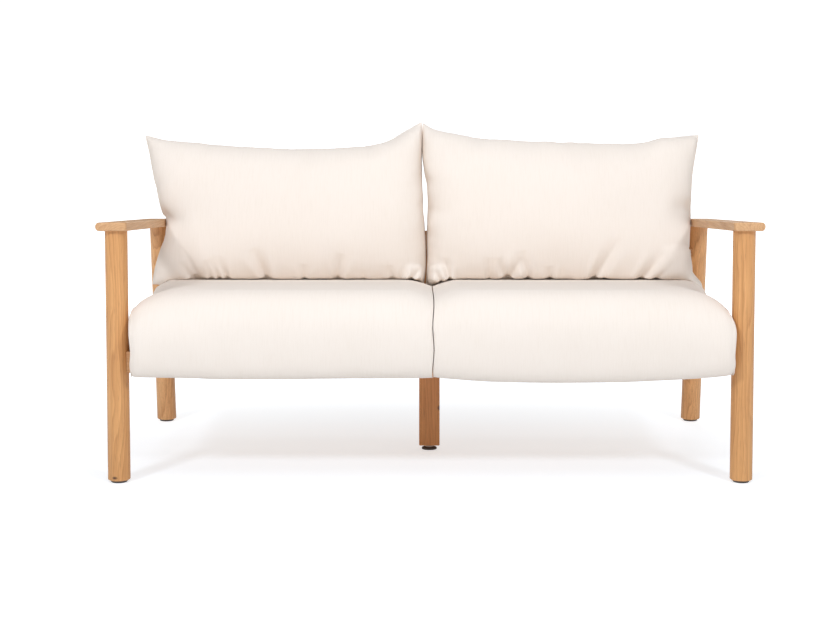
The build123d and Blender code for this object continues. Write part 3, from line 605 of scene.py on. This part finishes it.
def seat_top_drop(across, along, side):
    """How far a seat cushion's top has fallen near its two ends, less so at the heel."""
    heel_start, heel_reach, heel_relief = 0.12, 0.22, 0.8
    outer_reach, outer_fall = 0.105, 0.042
    inner_reach, inner_fall, inner_power = 0.09, 0.016, 2.4
    crown_start, crown_reach, crown_fall, crown_end = 0.42, 0.2, 0.008, 1.35
    full = 1 - heel_relief * smoothstep(np.clip((along - heel_start) / heel_reach, 0, 1))
    outer = np.clip((side * across - (seat_outer_x - outer_reach)) / outer_reach, 0, 1)
    inner = np.clip(1 - side * (across - parting_x) / inner_reach, 0, 1)
    crown = np.clip((side * across - crown_start) / crown_reach, 0, crown_end)
    edge = outer_fall * (1 - np.sqrt(np.clip(1 - outer**2, 0, 1))) + crown_fall * crown**2
    return full * edge + inner_fall * inner**inner_power


def seat_side_outline(tops, lip, inset):
    """The closed side outline of a seat cover: along the deck, and square to it."""
    top, middle, behind, heel = tops
    front, rear = seat_front + inset, seat_rear - inset
    return [
        (-0.0158, 0.0012), (-0.0160, -0.5 * lip), (-0.0200, -0.84 * lip), (-0.0315, -lip),
        (front + 0.0160, -0.97 * lip), (front + 0.0045, -0.68 * lip), (front, -0.1 * lip),
        (front - 0.0003, 0.25 * top), (front + 0.0035, 0.48 * top), (front + 0.0155, 0.70 * top),
        (front + 0.0385, 0.885 * top), (front + 0.0660, 0.965 * top), (front + 0.1050, top),
        (0.16, middle), (0.30, behind), (0.42, heel), (rear - 0.043, 0.985 * heel),
        (rear - 0.013, 0.86 * heel), (rear, 0.55 * heel), (rear - 0.003, 0.2 * heel),
        (rear - 0.0175, 0.0012), (0.40, seat_lift),
        (0.25, seat_lift), (0.10, seat_lift), (0.01, seat_lift),
    ]


def seat_cover(name, side, lip_drop):
    """A seat cushion: one wide panel wrapped round from lip to heel, and a bulged panel at each end."""
    ring, across_count, cap_count = 150, 62, 7
    end_clearance, inner_bulge, outer_bulge, inner_step = 0.0005, 0.0010, 0.0085, 0.004
    outer_inset, outer_reach, inner_inset, inner_reach = 0.006, 0.03, 0.003, 0.022
    spine_front, spine_turn, spine_rear, spine_share = -0.045, 0.03, 0.50, 0.93
    top_alongs = (0.1, 0.16, 0.3, 0.45)
    inner_x, outer_x = parting_x + side * end_clearance, side * (seat_outer_x - end_clearance)
    stations = np.linspace(inner_x + side * inner_bulge, outer_x - side * outer_bulge, across_count)
    stations[1] = stations[0] + side * inner_step
    loops = []
    for x in stations:
        share = abs(x - inner_x) / abs(outer_x - inner_x)
        tops = [seat_thickness - seat_top_clearance - seat_top_drop(x, along, side) for along in top_alongs]
        inset = outer_inset * max(0, 1 - abs(outer_x - x) / outer_reach) ** 2
        inset += inner_inset * max(0, 1 - abs(x - inner_x) / inner_reach) ** 2
        outline = smooth_loop(seat_side_outline(tops, lip_drop(share), inset), ring)
        loops.append(np.column_stack([np.full(ring, x), outline]))
    points, faces = [], []
    for loop in loops:
        points.extend(loop)
    for row in range(across_count - 1):
        for i in range(ring):
            j = (i + 1) % ring
            faces.append((row * ring + i, row * ring + j, (row + 1) * ring + j, (row + 1) * ring + i))
    seams = []
    for loop, first, outward, most_bulge in (
        (loops[0], 0, -side, inner_bulge),
        (loops[-1], (across_count - 1) * ring, side, outer_bulge),
    ):
        seams.append(list(range(first, first + ring)))
        spine_along = np.clip(loop[:, 1], spine_front, spine_rear)
        height_share = np.interp(spine_along, (spine_front, spine_turn, spine_rear), (0.25, 0.5, 0.5))
        spine = np.column_stack([loop[:, 0], spine_along, height_share * loop[:, 2].max()])
        lower = first
        for step in range(1, cap_count):
            share = step / cap_count
            bulge = most_bulge * math.sqrt(1 - (1 - share) ** 2)
            cap = loop + (spine - loop) * share * spine_share
            cap[:, 0] += outward * bulge
            start = len(points)
            points.extend(cap)
            for i in range(ring):
                j = (i + 1) % ring
                faces.append((lower + i, lower + j, start + j, start + i))
            lower = start
        tip = int(np.argmin(loop[:, 1]))
        for k in range(ring // 2):
            corners = (tip + k, tip + k + 1, tip - k - 1, tip - k)
            faces.append(tuple(dict.fromkeys(lower + c % ring for c in corners)))
    if side > 0:
        faces = [face[::-1] for face in faces]
    return new_cover(name, points, faces), seams


def keep_on_deck(points, side, widen):
    """Hold a seat cover clear of the deck, the front rail, the legs and its neighbour."""
    rail_face, deck_clearance = -0.0155, 0.0006
    furthest_front, furthest_rear = -0.0715, 0.5445
    wide_start, wide_reach, end_start, end_reach = -0.018, 0.03, 0.60, 0.085
    parting_room, leg_front, beside_leg = 0.0012, -0.022, 0.006
    wave_height, wave_start, wave_length, wave_reach = 0.0016, 0.02, 0.0165, 0.03
    x, along, rise = points.T
    rise = np.where(along > rail_face, np.maximum(rise, deck_clearance), rise)
    along = np.clip(along, furthest_front, furthest_rear)
    ahead = np.clip((wide_start - along) / wide_reach, 0, 1)
    end = np.clip((side * x - end_start) / end_reach, 0, 1)
    x = x + side * widen * smoothstep(ahead) * smoothstep(end)
    inner, outer = parting_x + side * parting_room, side * (seat_outer_x + beside_leg * (along < leg_front))
    x = np.clip(x, np.minimum(inner, outer), np.maximum(inner, outer))
    near_parting = np.exp(-np.abs(x - parting_x) / wave_reach)
    x = x + wave_height * np.sin((rise + wave_start) / wave_length) * near_parting
    return np.column_stack([x, along, np.minimum(rise, seat_thickness + seat_top_clearance)])


def left_lip_drop(share):
    """How far the left seat's front edge hangs below the deck, from the parting outwards."""
    even_drop, belly_drop, belly_share, belly_reach = 0.0638, 0.004, 0.62, 0.25
    return even_drop + belly_drop * math.exp(-(((share - belly_share) / belly_reach) ** 2))


def right_lip_drop(share):
    """The same for the right seat, which sags more."""
    middle_drop, end_rise, end_power, outer_rise = 0.076, 0.014, 2.5, 0.004
    return middle_drop - end_rise * abs(2 * share - 1) ** end_power - outer_rise * share**3


def make_seat(name, side, lip_drop, widen, cloth):
    """One finished seat cushion with its seams."""
    inner_room, inner_reach, seam_depth, seam_radius = 0.0020, 0.05, 0.0022, 0.0011
    deck_front, seam_front, seam_lift, low_rise = -0.0165, -0.014, 0.0024, 0.03
    cover, seam_rings = seat_cover(f"seat_cover_{name}", side, lip_drop)
    points = stuff(cover, pressure=4.0, most_move=0.006)
    inner_ring, inner_end = seam_rings[0], parting_x + side * inner_room
    gap = inner_end - points[inner_ring, 0]
    points[:, 0] += gap.mean() * np.exp(-np.abs(points[:, 0] - inner_end) / inner_reach)
    points[inner_ring, 0] = inner_end
    points = keep_on_deck(points, side, widen)
    lines = []
    for ring in seam_rings:
        inward = points[ring].mean(axis=0) - points[ring]
        inward[:, 0] = 0
        inward /= np.linalg.norm(inward, axis=1, keepdims=True)
        points[ring] += inward * seam_depth
        line = points[ring]
        on_deck = line[:, 1] > deck_front
        line[on_deck, 2] = np.maximum(line[on_deck, 2], seam_lift)
        low = on_deck & (line[:, 2] < low_rise)
        line[:, 1] = np.where(low, np.maximum(line[:, 1], seam_front), line[:, 1])
        lines.append(line)
    set_points(cover.data, place_on(deck, points))
    refine(cover)
    cover.data.materials.append(cloth)
    body = f"seat_{name}"
    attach(cover, body)
    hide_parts(f"seat_cushion_{name}", f"seat_core_{name}")
    seams = sewn_edge(f"seat_seams_{name}", lines, seam_radius, deck)
    seams.data.materials.append(cloth)
    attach(seams, body)


# Back cushions
back_front_depth, back_rear_depth, back_deepest = 0.095, 0.0745, 0.105
grid_step = 0.007


def line_through(points, count):
    """A smooth line through given points, divided evenly by length."""
    points = np.asarray(points, float)
    run = run_along(points)
    shares = run / run[-1]
    return np.column_stack([spread(points[:, axis], shares, count) for axis in (0, 1)])


def back_cover_blank(name, corners, columns, rows):
    """Two flat panels sewn together round their edges, a little puffed to start with."""
    inner_foot, outer_foot, inner_ear, outer_ear = (np.array(c) for c in corners)
    s, t = np.meshgrid(np.linspace(0, 1, columns), np.linspace(0, 1, rows), indexing="ij")
    flat = (
        np.multiply.outer((1 - s) * (1 - t), inner_foot) + np.multiply.outer(s * (1 - t), outer_foot)
        + np.multiply.outer((1 - s) * t, inner_ear) + np.multiply.outer(s * t, outer_ear)
    )
    first_puff, puff_power = 0.02, 0.6
    puff = first_puff * (np.sin(math.pi * s) * np.sin(math.pi * t)) ** puff_power
    front = np.dstack([flat, puff])
    rear = np.dstack([flat, -puff])
    index = np.arange(columns * rows).reshape(columns, rows)
    rear_index = np.full((columns, rows), -1)
    edge = np.zeros((columns, rows), bool)
    edge[0, :] = edge[-1, :] = edge[:, 0] = edge[:, -1] = True
    rear_index[edge] = index[edge]
    rear_index[~edge] = np.arange((~edge).sum()) + columns * rows
    points = np.vstack([front.reshape(-1, 3), rear[~edge]])
    faces = []
    for i in range(columns - 1):
        for j in range(rows - 1):
            a, b, c, d = index[i, j], index[i + 1, j], index[i + 1, j + 1], index[i, j + 1]
            faces.append((a, b, c, d))
            a, b, c, d = (rear_index[k] for k in ((i, j), (i, j + 1), (i + 1, j + 1), (i + 1, j)))
            faces.append((a, b, c, d))
    step = 1 if outer_foot[0] > inner_foot[0] else -1
    return new_cover(name, points, [tuple(int(v) for v in face)[::step] for face in faces]), index, rear_index


def even_out(line, reach):
    """A line with its fine waves taken out."""
    kernel = np.hanning(reach * 2 + 1)
    kernel /= kernel.sum()
    padded = np.vstack([2 * line[0] - line[reach:0:-1], line, 2 * line[-1] - line[-2:-reach - 2:-1]])
    smooth = np.column_stack([np.convolve(padded[:, k], kernel, "valid") for k in range(line.shape[1])])
    smooth[0], smooth[-1] = line[0], line[-1]
    return smooth


def fit_outline(points, index, edges):
    """The shift that lays a stuffed cover's seam along the given edges."""
    even_reach, fine_share, fine_reach = 7, 0.85, 0.022
    grid = points[index][:, :, :2]
    columns, rows = index.shape
    s = np.linspace(0, 1, columns)[:, None, None]
    t = np.linspace(0, 1, rows)[None, :, None]
    now = {"foot": grid[:, 0], "top": grid[:, -1], "inner": grid[0], "outer": grid[-1]}
    gap, fine = {}, {}
    for edge, line in now.items():
        smooth = even_out(line, even_reach)
        gap[edge] = line_through(edges[edge], len(line)) - smooth
        fine[edge] = fine_share * (smooth - line)
    steps = np.meshgrid(np.arange(columns), np.arange(rows), indexing="ij")
    near = [np.exp(-away * grid_step / fine_reach) for away in steps]
    far = [near[0][::-1], near[1][:, ::-1]]
    corners = (
        (1 - s) * (1 - t) * gap["foot"][0] + s * (1 - t) * gap["foot"][-1]
        + (1 - s) * t * gap["top"][0] + s * t * gap["top"][-1]
    )
    close = (
        near[0][..., None] * fine["inner"][None] + far[0][..., None] * fine["outer"][None]
        + near[1][..., None] * fine["foot"][:, None] + far[1][..., None] * fine["top"][:, None]
    )
    return close + (
        (1 - t) * gap["foot"][:, None] + t * gap["top"][:, None]
        + (1 - s) * gap["inner"][None] + s * gap["outer"][None] - corners
    )


def press_folds(points, folds):
    """Press creases into a back cushion's front: each has a start, an end, a width and a depth."""
    front_reach, ridge_place, ridge_width, ridge_share = 0.02, 2.3, 1.2, 0.4
    fade_power, start_width, width_growth, round_tip = 0.8, 0.8, 0.8, 0.2
    front = np.clip(points[:, 2] / front_reach, 0, 1)
    x, up = points[:, 0].copy(), points[:, 1].copy()
    for start, end, width, depth in folds:
        start, end = np.array(start), np.array(end)
        run = end - start
        share = np.clip(((x - start[0]) * run[0] + (up - start[1]) * run[1]) / (run @ run), 0, 1)
        away = np.hypot(x - start[0] - share * run[0], up - start[1] - share * run[1])
        fade = (1 - share) ** fade_power
        wide = width * (start_width + width_growth * share)
        crease = np.exp(-np.sqrt((away / wide) ** 2 + round_tip**2) + round_tip)
        ridge = np.exp(-(((away - ridge_place * wide) / (ridge_width * wide)) ** 2))
        points[:, 2] -= front * depth * fade * (crease - ridge_share * ridge)
    return points


def full_corner(points, middle, reach, depth):
    """Fill a cushion's front out to a blunt corner."""
    blend, seam_depth, deepest = 0.004, -0.002, 0.102
    across, up = ((points[:, axis] - middle[axis]) / reach[axis] for axis in (0, 1))
    lump = depth * np.sqrt(np.clip(1 - across**4 - up**4, 0, 1))
    filled = (points[:, 2] > seam_depth) & (lump > 0)
    high, low = np.maximum(points[:, 2], lump), np.minimum(points[:, 2], lump)
    fuller = high + blend * np.log1p(np.exp(-(high - low) / blend))
    points[:, 2] = np.where(filled, np.minimum(fuller, deepest), points[:, 2])
    return points


def tuck_corner(points, corner, reach, back):
    """Push a seam corner back behind the rounded front of a cushion that is squashed on the seat."""
    front_share, front_reach = 1.2, 0.04
    away = np.linalg.norm((points[:, :2] - np.array(corner)) / np.array(reach), axis=1)
    points[:, 2] -= back * np.exp(-(away**2)) * np.clip(front_share - points[:, 2] / front_reach, 0, 1)
    return points


def pucker(points, index, rear_index, seed):
    """Gather the cloth finely along the sewn edges."""
    wave_length, wave_height, reach, flat_steps = 0.045, 0.0042, 0.032, 2.0
    columns, rows = index.shape
    s, t = np.meshgrid(np.arange(columns), np.arange(rows), indexing="ij")
    for number, (run, away) in enumerate(((s, t), (s, rows - 1 - t), (t, s), (t, columns - 1 - s))):
        for panel, direction in ((index, 1), (rear_index, -1)):
            own_seed = seed + number * 10 + (direction > 0)
            wave = ruffle(run.ravel() * grid_step, own_seed, wave_length).reshape(run.shape)
            fade = np.exp(-away * grid_step / reach) * np.clip(away / flat_steps, 0, 1)
            points[panel.ravel(), 2] += direction * (wave * fade * wave_height).ravel()
    return points


def rest_on_seat(points, side, folds, seed):
    """Flatten a back cover where it sits on the seat, with its folds arched up off the seat."""
    arch_middle, arch_wave, wave_length, seed_step = 0.0022, 0.0014, 0.09, 5
    arch_share, arch_width, arch_power = 0.6, 1.2, 1.5
    arch_start, arch_reach, soft, clearance = 0.008, 0.025, 0.003, 0.0006
    heel_alongs, heel_shares = (0.47, 0.4955, 0.5255, 0.5385, 0.541), (1, 0.985, 0.86, 0.55, 0.2)
    arch = arch_middle + arch_wave * ruffle(points[:, 0], seed + seed_step, wave_length)
    for start, _, width, depth in folds:
        away = np.abs(points[:, 0] - start[0]) / (arch_width * width)
        arch = arch + arch_share * depth * np.exp(-(away**arch_power))
    world = place_on(backrest, points)
    turn = np.array(deck.to_3x3())
    on_seat = (world - np.array(deck.translation)) @ turn
    heel = np.interp(on_seat[:, 1], heel_alongs, heel_shares)
    drop = seat_top_drop(np.abs(on_seat[:, 0]) * side, on_seat[:, 1], side)
    top = (seat_thickness + clearance - drop) * heel
    top = top + arch * np.clip((points[:, 2] - arch_start) / arch_reach, 0, 1)
    above = on_seat[:, 2] - top
    eased = soft * np.log1p(np.exp(np.minimum(above, 6 * soft) / soft))
    on_seat[:, 2] = top + np.where(above > 6 * soft, above, eased)
    return on_seat @ turn.T + np.array(deck.translation)


def clear_armrest(points, side):
    """Keep a back cover's side off the armrest, from upright to tipped right forward about its foot."""
    tip_y, tip_z, tip_angles = 0.1163, 0.4205, (0, 13, 26, 38)
    side_clearance, armrest_thickness, height_clearance, free_slope = 0.0012, 0.022, 0.004, 1.5
    low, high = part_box("armrest_left" if side < 0 else "armrest_right")
    inner_edge = min(abs(low.x), abs(high.x)) - side_clearance
    room = np.full(len(points), 1.0)
    for angle in tip_angles:
        sine, cosine = math.sin(math.radians(angle)), math.cos(math.radians(angle))
        ahead, above = points[:, 1] - tip_y, points[:, 2] - tip_z
        y, z = tip_y + cosine * ahead - sine * above, tip_z + sine * ahead + cosine * above
        over = z - (high.z - (y - low.y) * math.tan(deck_slope))
        room = np.minimum(room, np.maximum(over, -armrest_thickness - over) - height_clearance)
    limit = inner_edge + free_slope * np.clip(room, 0, None)
    points[:, 0] = side * np.minimum(side * points[:, 0], limit)
    return points


def make_back(name, edges, folds, tucks, lumps, seed, cloth):
    """One finished back cushion with its knife-edge seam."""
    blank_share, columns, rows = 1.04, 106, 64
    even_rounds, fullness, seam_radius = 10, 0.74, 0.0014
    side = -1 if name == "left" else 1
    corners = [edges["foot"][0], edges["foot"][-1], edges["top"][0], edges["top"][-1]]
    middle = np.mean(corners, axis=0)
    cut = [middle + (np.array(c) - middle) * blank_share for c in corners]
    cover, index, rear_index = back_cover_blank(f"back_cover_{name}", cut, columns, rows)
    points = stuff(cover, pressure=12.0, most_move=0.2, frames=30)
    shift = fit_outline(points, index, edges)
    points[index.ravel(), :2] += shift.reshape(-1, 2)
    inside = rear_index.ravel() >= index.size
    points[rear_index.ravel()[inside], :2] += shift.reshape(-1, 2)[inside]
    for panel in (index, rear_index):
        grid = points[panel]
        for _ in range(even_rounds):
            around = grid[:-2, 1:-1] + grid[2:, 1:-1] + grid[1:-1, :-2] + grid[1:-1, 2:]
            grid[1:-1, 1:-1] = 0.5 * grid[1:-1, 1:-1] + 0.125 * around
        points[panel[1:-1, 1:-1].ravel()] = grid[1:-1, 1:-1].reshape(-1, 3)
    depth = points[:, 2]
    points[:, 2] = np.where(
        depth > 0,
        back_front_depth * (np.clip(depth, 0, None) / depth.max()) ** fullness,
        -back_rear_depth * (np.clip(depth, None, 0) / depth.min()) ** fullness,
    )
    points = pucker(points, index, rear_index, seed)
    set_points(cover.data, points)
    refine(cover)
    points = points_of(cover.data)
    for tuck in tucks:
        points = tuck_corner(points, *tuck)
    for lump in lumps:
        points = full_corner(points, *lump)
    points = press_folds(points, folds)
    points[:, 2] = np.clip(points[:, 2], -back_rear_depth, back_deepest)
    points = clear_armrest(rest_on_seat(points, side, folds, seed), side)
    set_points(cover.data, points)
    seam = np.concatenate([index[:, 0], index[-1, 1:], index[-2::-1, -1], index[0, -2:0:-1]])
    cover.data.materials.append(cloth)
    body = f"back_{name}"
    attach(cover, body)
    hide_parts(f"back_cushion_{name}", f"back_core_{name}")
    seams = sewn_edge(f"back_seam_{name}", [points[seam]], seam_radius, Matrix.Identity(4))
    seams.data.materials.append(cloth)
    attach(seams, body)


left_edges = {
    "foot": [(-0.014, 0.0), (-0.2, -0.004), (-0.4, -0.006), (-0.6, -0.004), (-0.728, 0.0)],
    "top": [
        (-0.018, 0.461), (-0.062, 0.434), (-0.116, 0.402), (-0.197, 0.388), (-0.322, 0.382),
        (-0.457, 0.384), (-0.620, 0.398), (-0.713, 0.408), (-0.767, 0.423),
    ],
    "inner": [
        (-0.014, 0.0), (-0.009, 0.06), (-0.0095, 0.12), (-0.0125, 0.17), (-0.017, 0.25), (-0.019, 0.31),
        (-0.0195, 0.36), (-0.0185, 0.41), (-0.018, 0.461),
    ],
    "outer": [
        (-0.728, 0.0), (-0.722, 0.05), (-0.709, 0.105), (-0.6985, 0.14), (-0.6955, 0.172), (-0.709, 0.203),
        (-0.7225, 0.25), (-0.740, 0.32), (-0.754, 0.38), (-0.767, 0.423),
    ],
}
right_edges = {
    "foot": [(-0.010, 0.0), (0.2, -0.004), (0.4, -0.006), (0.6, -0.004), (0.690, -0.002), (0.720, 0.004)],
    "top": [
        (-0.017, 0.458), (0.015, 0.438), (0.047, 0.429), (0.120, 0.415), (0.240, 0.404), (0.400, 0.399),
        (0.530, 0.396), (0.578, 0.399), (0.612, 0.409), (0.670, 0.416), (0.730, 0.4235),
    ],
    "inner": [
        (-0.010, 0.0), (-0.004, 0.07), (-0.0050, 0.12), (-0.0045, 0.17), (-0.0025, 0.25), (-0.010, 0.31),
        (-0.0165, 0.36), (-0.0176, 0.41), (-0.017, 0.458),
    ],
    "outer": [
        (0.720, 0.004), (0.728, 0.013), (0.722, 0.027), (0.704, 0.040), (0.691, 0.054), (0.690, 0.13),
        (0.6945, 0.18), (0.699, 0.24), (0.706, 0.31), (0.718, 0.37), (0.730, 0.4235),
    ],
}
left_folds = [
    ((-0.600, 0.020), (-0.680, 0.150), 0.016, 0.014),
    ((-0.612, 0.006), (-0.646, 0.055), 0.009, 0.013),
    ((-0.566, 0.012), (-0.582, 0.055), 0.006, 0.011),
    ((-0.546, 0.010), (-0.568, 0.060), 0.006, 0.013),
    ((-0.525, 0.010), (-0.550, 0.068), 0.006, 0.011),
    ((-0.423, 0.012), (-0.455, 0.085), 0.009, 0.017),
    ((-0.326, 0.010), (-0.324, 0.045), 0.007, 0.008),
    ((-0.238, 0.012), (-0.226, 0.072), 0.009, 0.014),
    ((-0.170, 0.008), (-0.172, 0.035), 0.008, 0.005),
    ((-0.095, 0.010), (-0.104, 0.045), 0.007, 0.009),
    ((-0.046, 0.008), (-0.012, 0.055), 0.007, 0.012),
    ((-0.026, 0.006), (-0.004, 0.030), 0.005, 0.008),
]
right_folds = [
    ((0.053, 0.008), (0.039, 0.066), 0.006, 0.016),
    ((0.030, 0.004), (0.014, 0.036), 0.005, 0.009),
    ((0.156, 0.010), (0.152, 0.062), 0.006, 0.005),
    ((0.200, 0.010), (0.176, 0.060), 0.008, 0.013),
    ((0.208, 0.012), (0.240, 0.062), 0.008, 0.014),
    ((0.258, 0.008), (0.241, 0.078), 0.008, 0.012),
    ((0.314, 0.008), (0.309, 0.040), 0.007, 0.009),
    ((0.430, 0.012), (0.492, 0.110), 0.010, 0.015),
    ((0.455, 0.010), (0.478, 0.060), 0.007, 0.006),
    ((0.552, 0.010), (0.618, 0.082), 0.010, 0.012),
    ((0.591, 0.008), (0.640, 0.055), 0.008, 0.009),
]
left_tucks = [((-0.012, 0.0), (0.030, 0.030), 0.020)]
right_tucks = [((0.722, 0.014), (0.040, 0.044), 0.045), ((-0.006, 0.0), (0.030, 0.030), 0.020)]
left_lumps = [((-0.044, 0.028), (0.032, 0.030), 0.052), ((-0.632, 0.15), (0.0635, 0.12), 0.036)]
right_lumps = [((0.628, 0.055), (0.064, 0.058), 0.072), ((0.036, 0.026), (0.040, 0.030), 0.055)]


# Frame finishes
def finish_frame():
    """Give every piece of the frame its own cut of teak, and the fittings their metal and plastic."""
    low_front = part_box("front_leg_left")[0]
    leg_radius = 0.026
    mark_x, mark_z = low_front.x + leg_radius - 0.006, 0.014
    own = {
        "front_leg_left": teak(
            "teak front leg left", "upright", (0.31, 0.12, 0.2),
            knots=[((mark_x, low_front.y, mark_z), (1, 1, 1.8), 0.008)],
        ),
        "front_leg_right": teak("teak front leg right", "upright", (0.83, 0.4, 1.7)),
        # The rear legs get lighter teak than the front legs, and the centre leg its own redder teak: painted
        # light, lifting the shade they stand in behind and under the cushions.
        "rear_leg_left": teak("teak rear leg left", "upright", (1.7, 0.9, 0.6), light=(0.9, 0.5, 0.22, 1)),
        "rear_leg_right": teak("teak rear leg right", "upright", (2.4, 1.1, 2.9), light=(0.9, 0.48, 0.2, 1)),
        "centre_leg": teak(
            "teak centre leg", "upright", (3.1, 0.3, 0.4),
            light=(0.78, 0.345, 0.115, 1), dark=(0.45, 0.17, 0.048, 1),
            knots=[((0.026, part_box("centre_leg")[0].y, 0.11), (1, 1, 0.8), 0.007)],
        ),
        # The armrests' teak holds painted shade and a painted sheen.
        "armrest_left": teak("teak armrest left", "lengthwise", (0.5, 0.2, 0.9), arm_light_shade_and_sheen, arm_dark_shade_and_sheen),
        "armrest_right": teak("teak armrest right", "lengthwise", (1.3, 0.7, 0.1), arm_light_shade_and_sheen, arm_dark_shade_and_sheen),
    }
    families = {
        "across": teak("teak rails and slats", "across", (0.2, 0.6, 1.1), light=(0.6, 0.32, 0.14, 1)),
        "lengthwise": teak("teak side rails and bearer", "lengthwise", (0.9, 0.1, 0.3)),
        "upright": teak("teak back slats", "upright", (0.4, 1.6, 0.8), light=(0.5, 0.25, 0.1, 1)),
    }
    fittings = {
        "steel": turned_metal("zinc plated steel", (0.62, 0.62, 0.64, 1), roughness=0.35),
        "brass": turned_metal("turned brass", (0.72, 0.56, 0.28, 1), roughness=0.3),
        "glide_plastic": moulded_plastic(
            "dark glide plastic", (0.045, 0.035, 0.03, 1), (0.055, 0.045, 0.04, 1), change_height=0.005
        ),
        # The foot is dark below a height and light above it.
        "foot_plastic": moulded_plastic(
            "foot plastic dark below and light above", (0.05, 0.04, 0.035, 1), (0.62, 0.6, 0.57, 1), change_height=0.0065
        ),
    }
    slots = {part["node"]: part["material_slot"] for part in frame["record"]["subparts"]}
    for name, node in frame["nodes"].items():
        if name in own:
            material = own[name]
        elif slots[name] in fittings:
            material = fittings[slots[name]]
        elif name.startswith(("front_rail", "rear_rail", "seat_slat", "back_top", "back_bottom")):
            material = families["across"]
        elif name.startswith("back_slat"):
            material = families["upright"]
        else:
            material = families["lengthwise"]
        node.data.materials.clear()
        node.data.materials.append(material)


set_camera()
build_studio()
finish_frame()
cloth = outdoor_cloth()
make_seat("left", -1, left_lip_drop, -0.0055, cloth)
make_seat("right", 1, right_lip_drop, 0.0045, cloth)
make_back("left", left_edges, left_folds, left_tucks, left_lumps, 11, cloth)
make_back("right", right_edges, right_folds, right_tucks, right_lumps, 47, cloth)
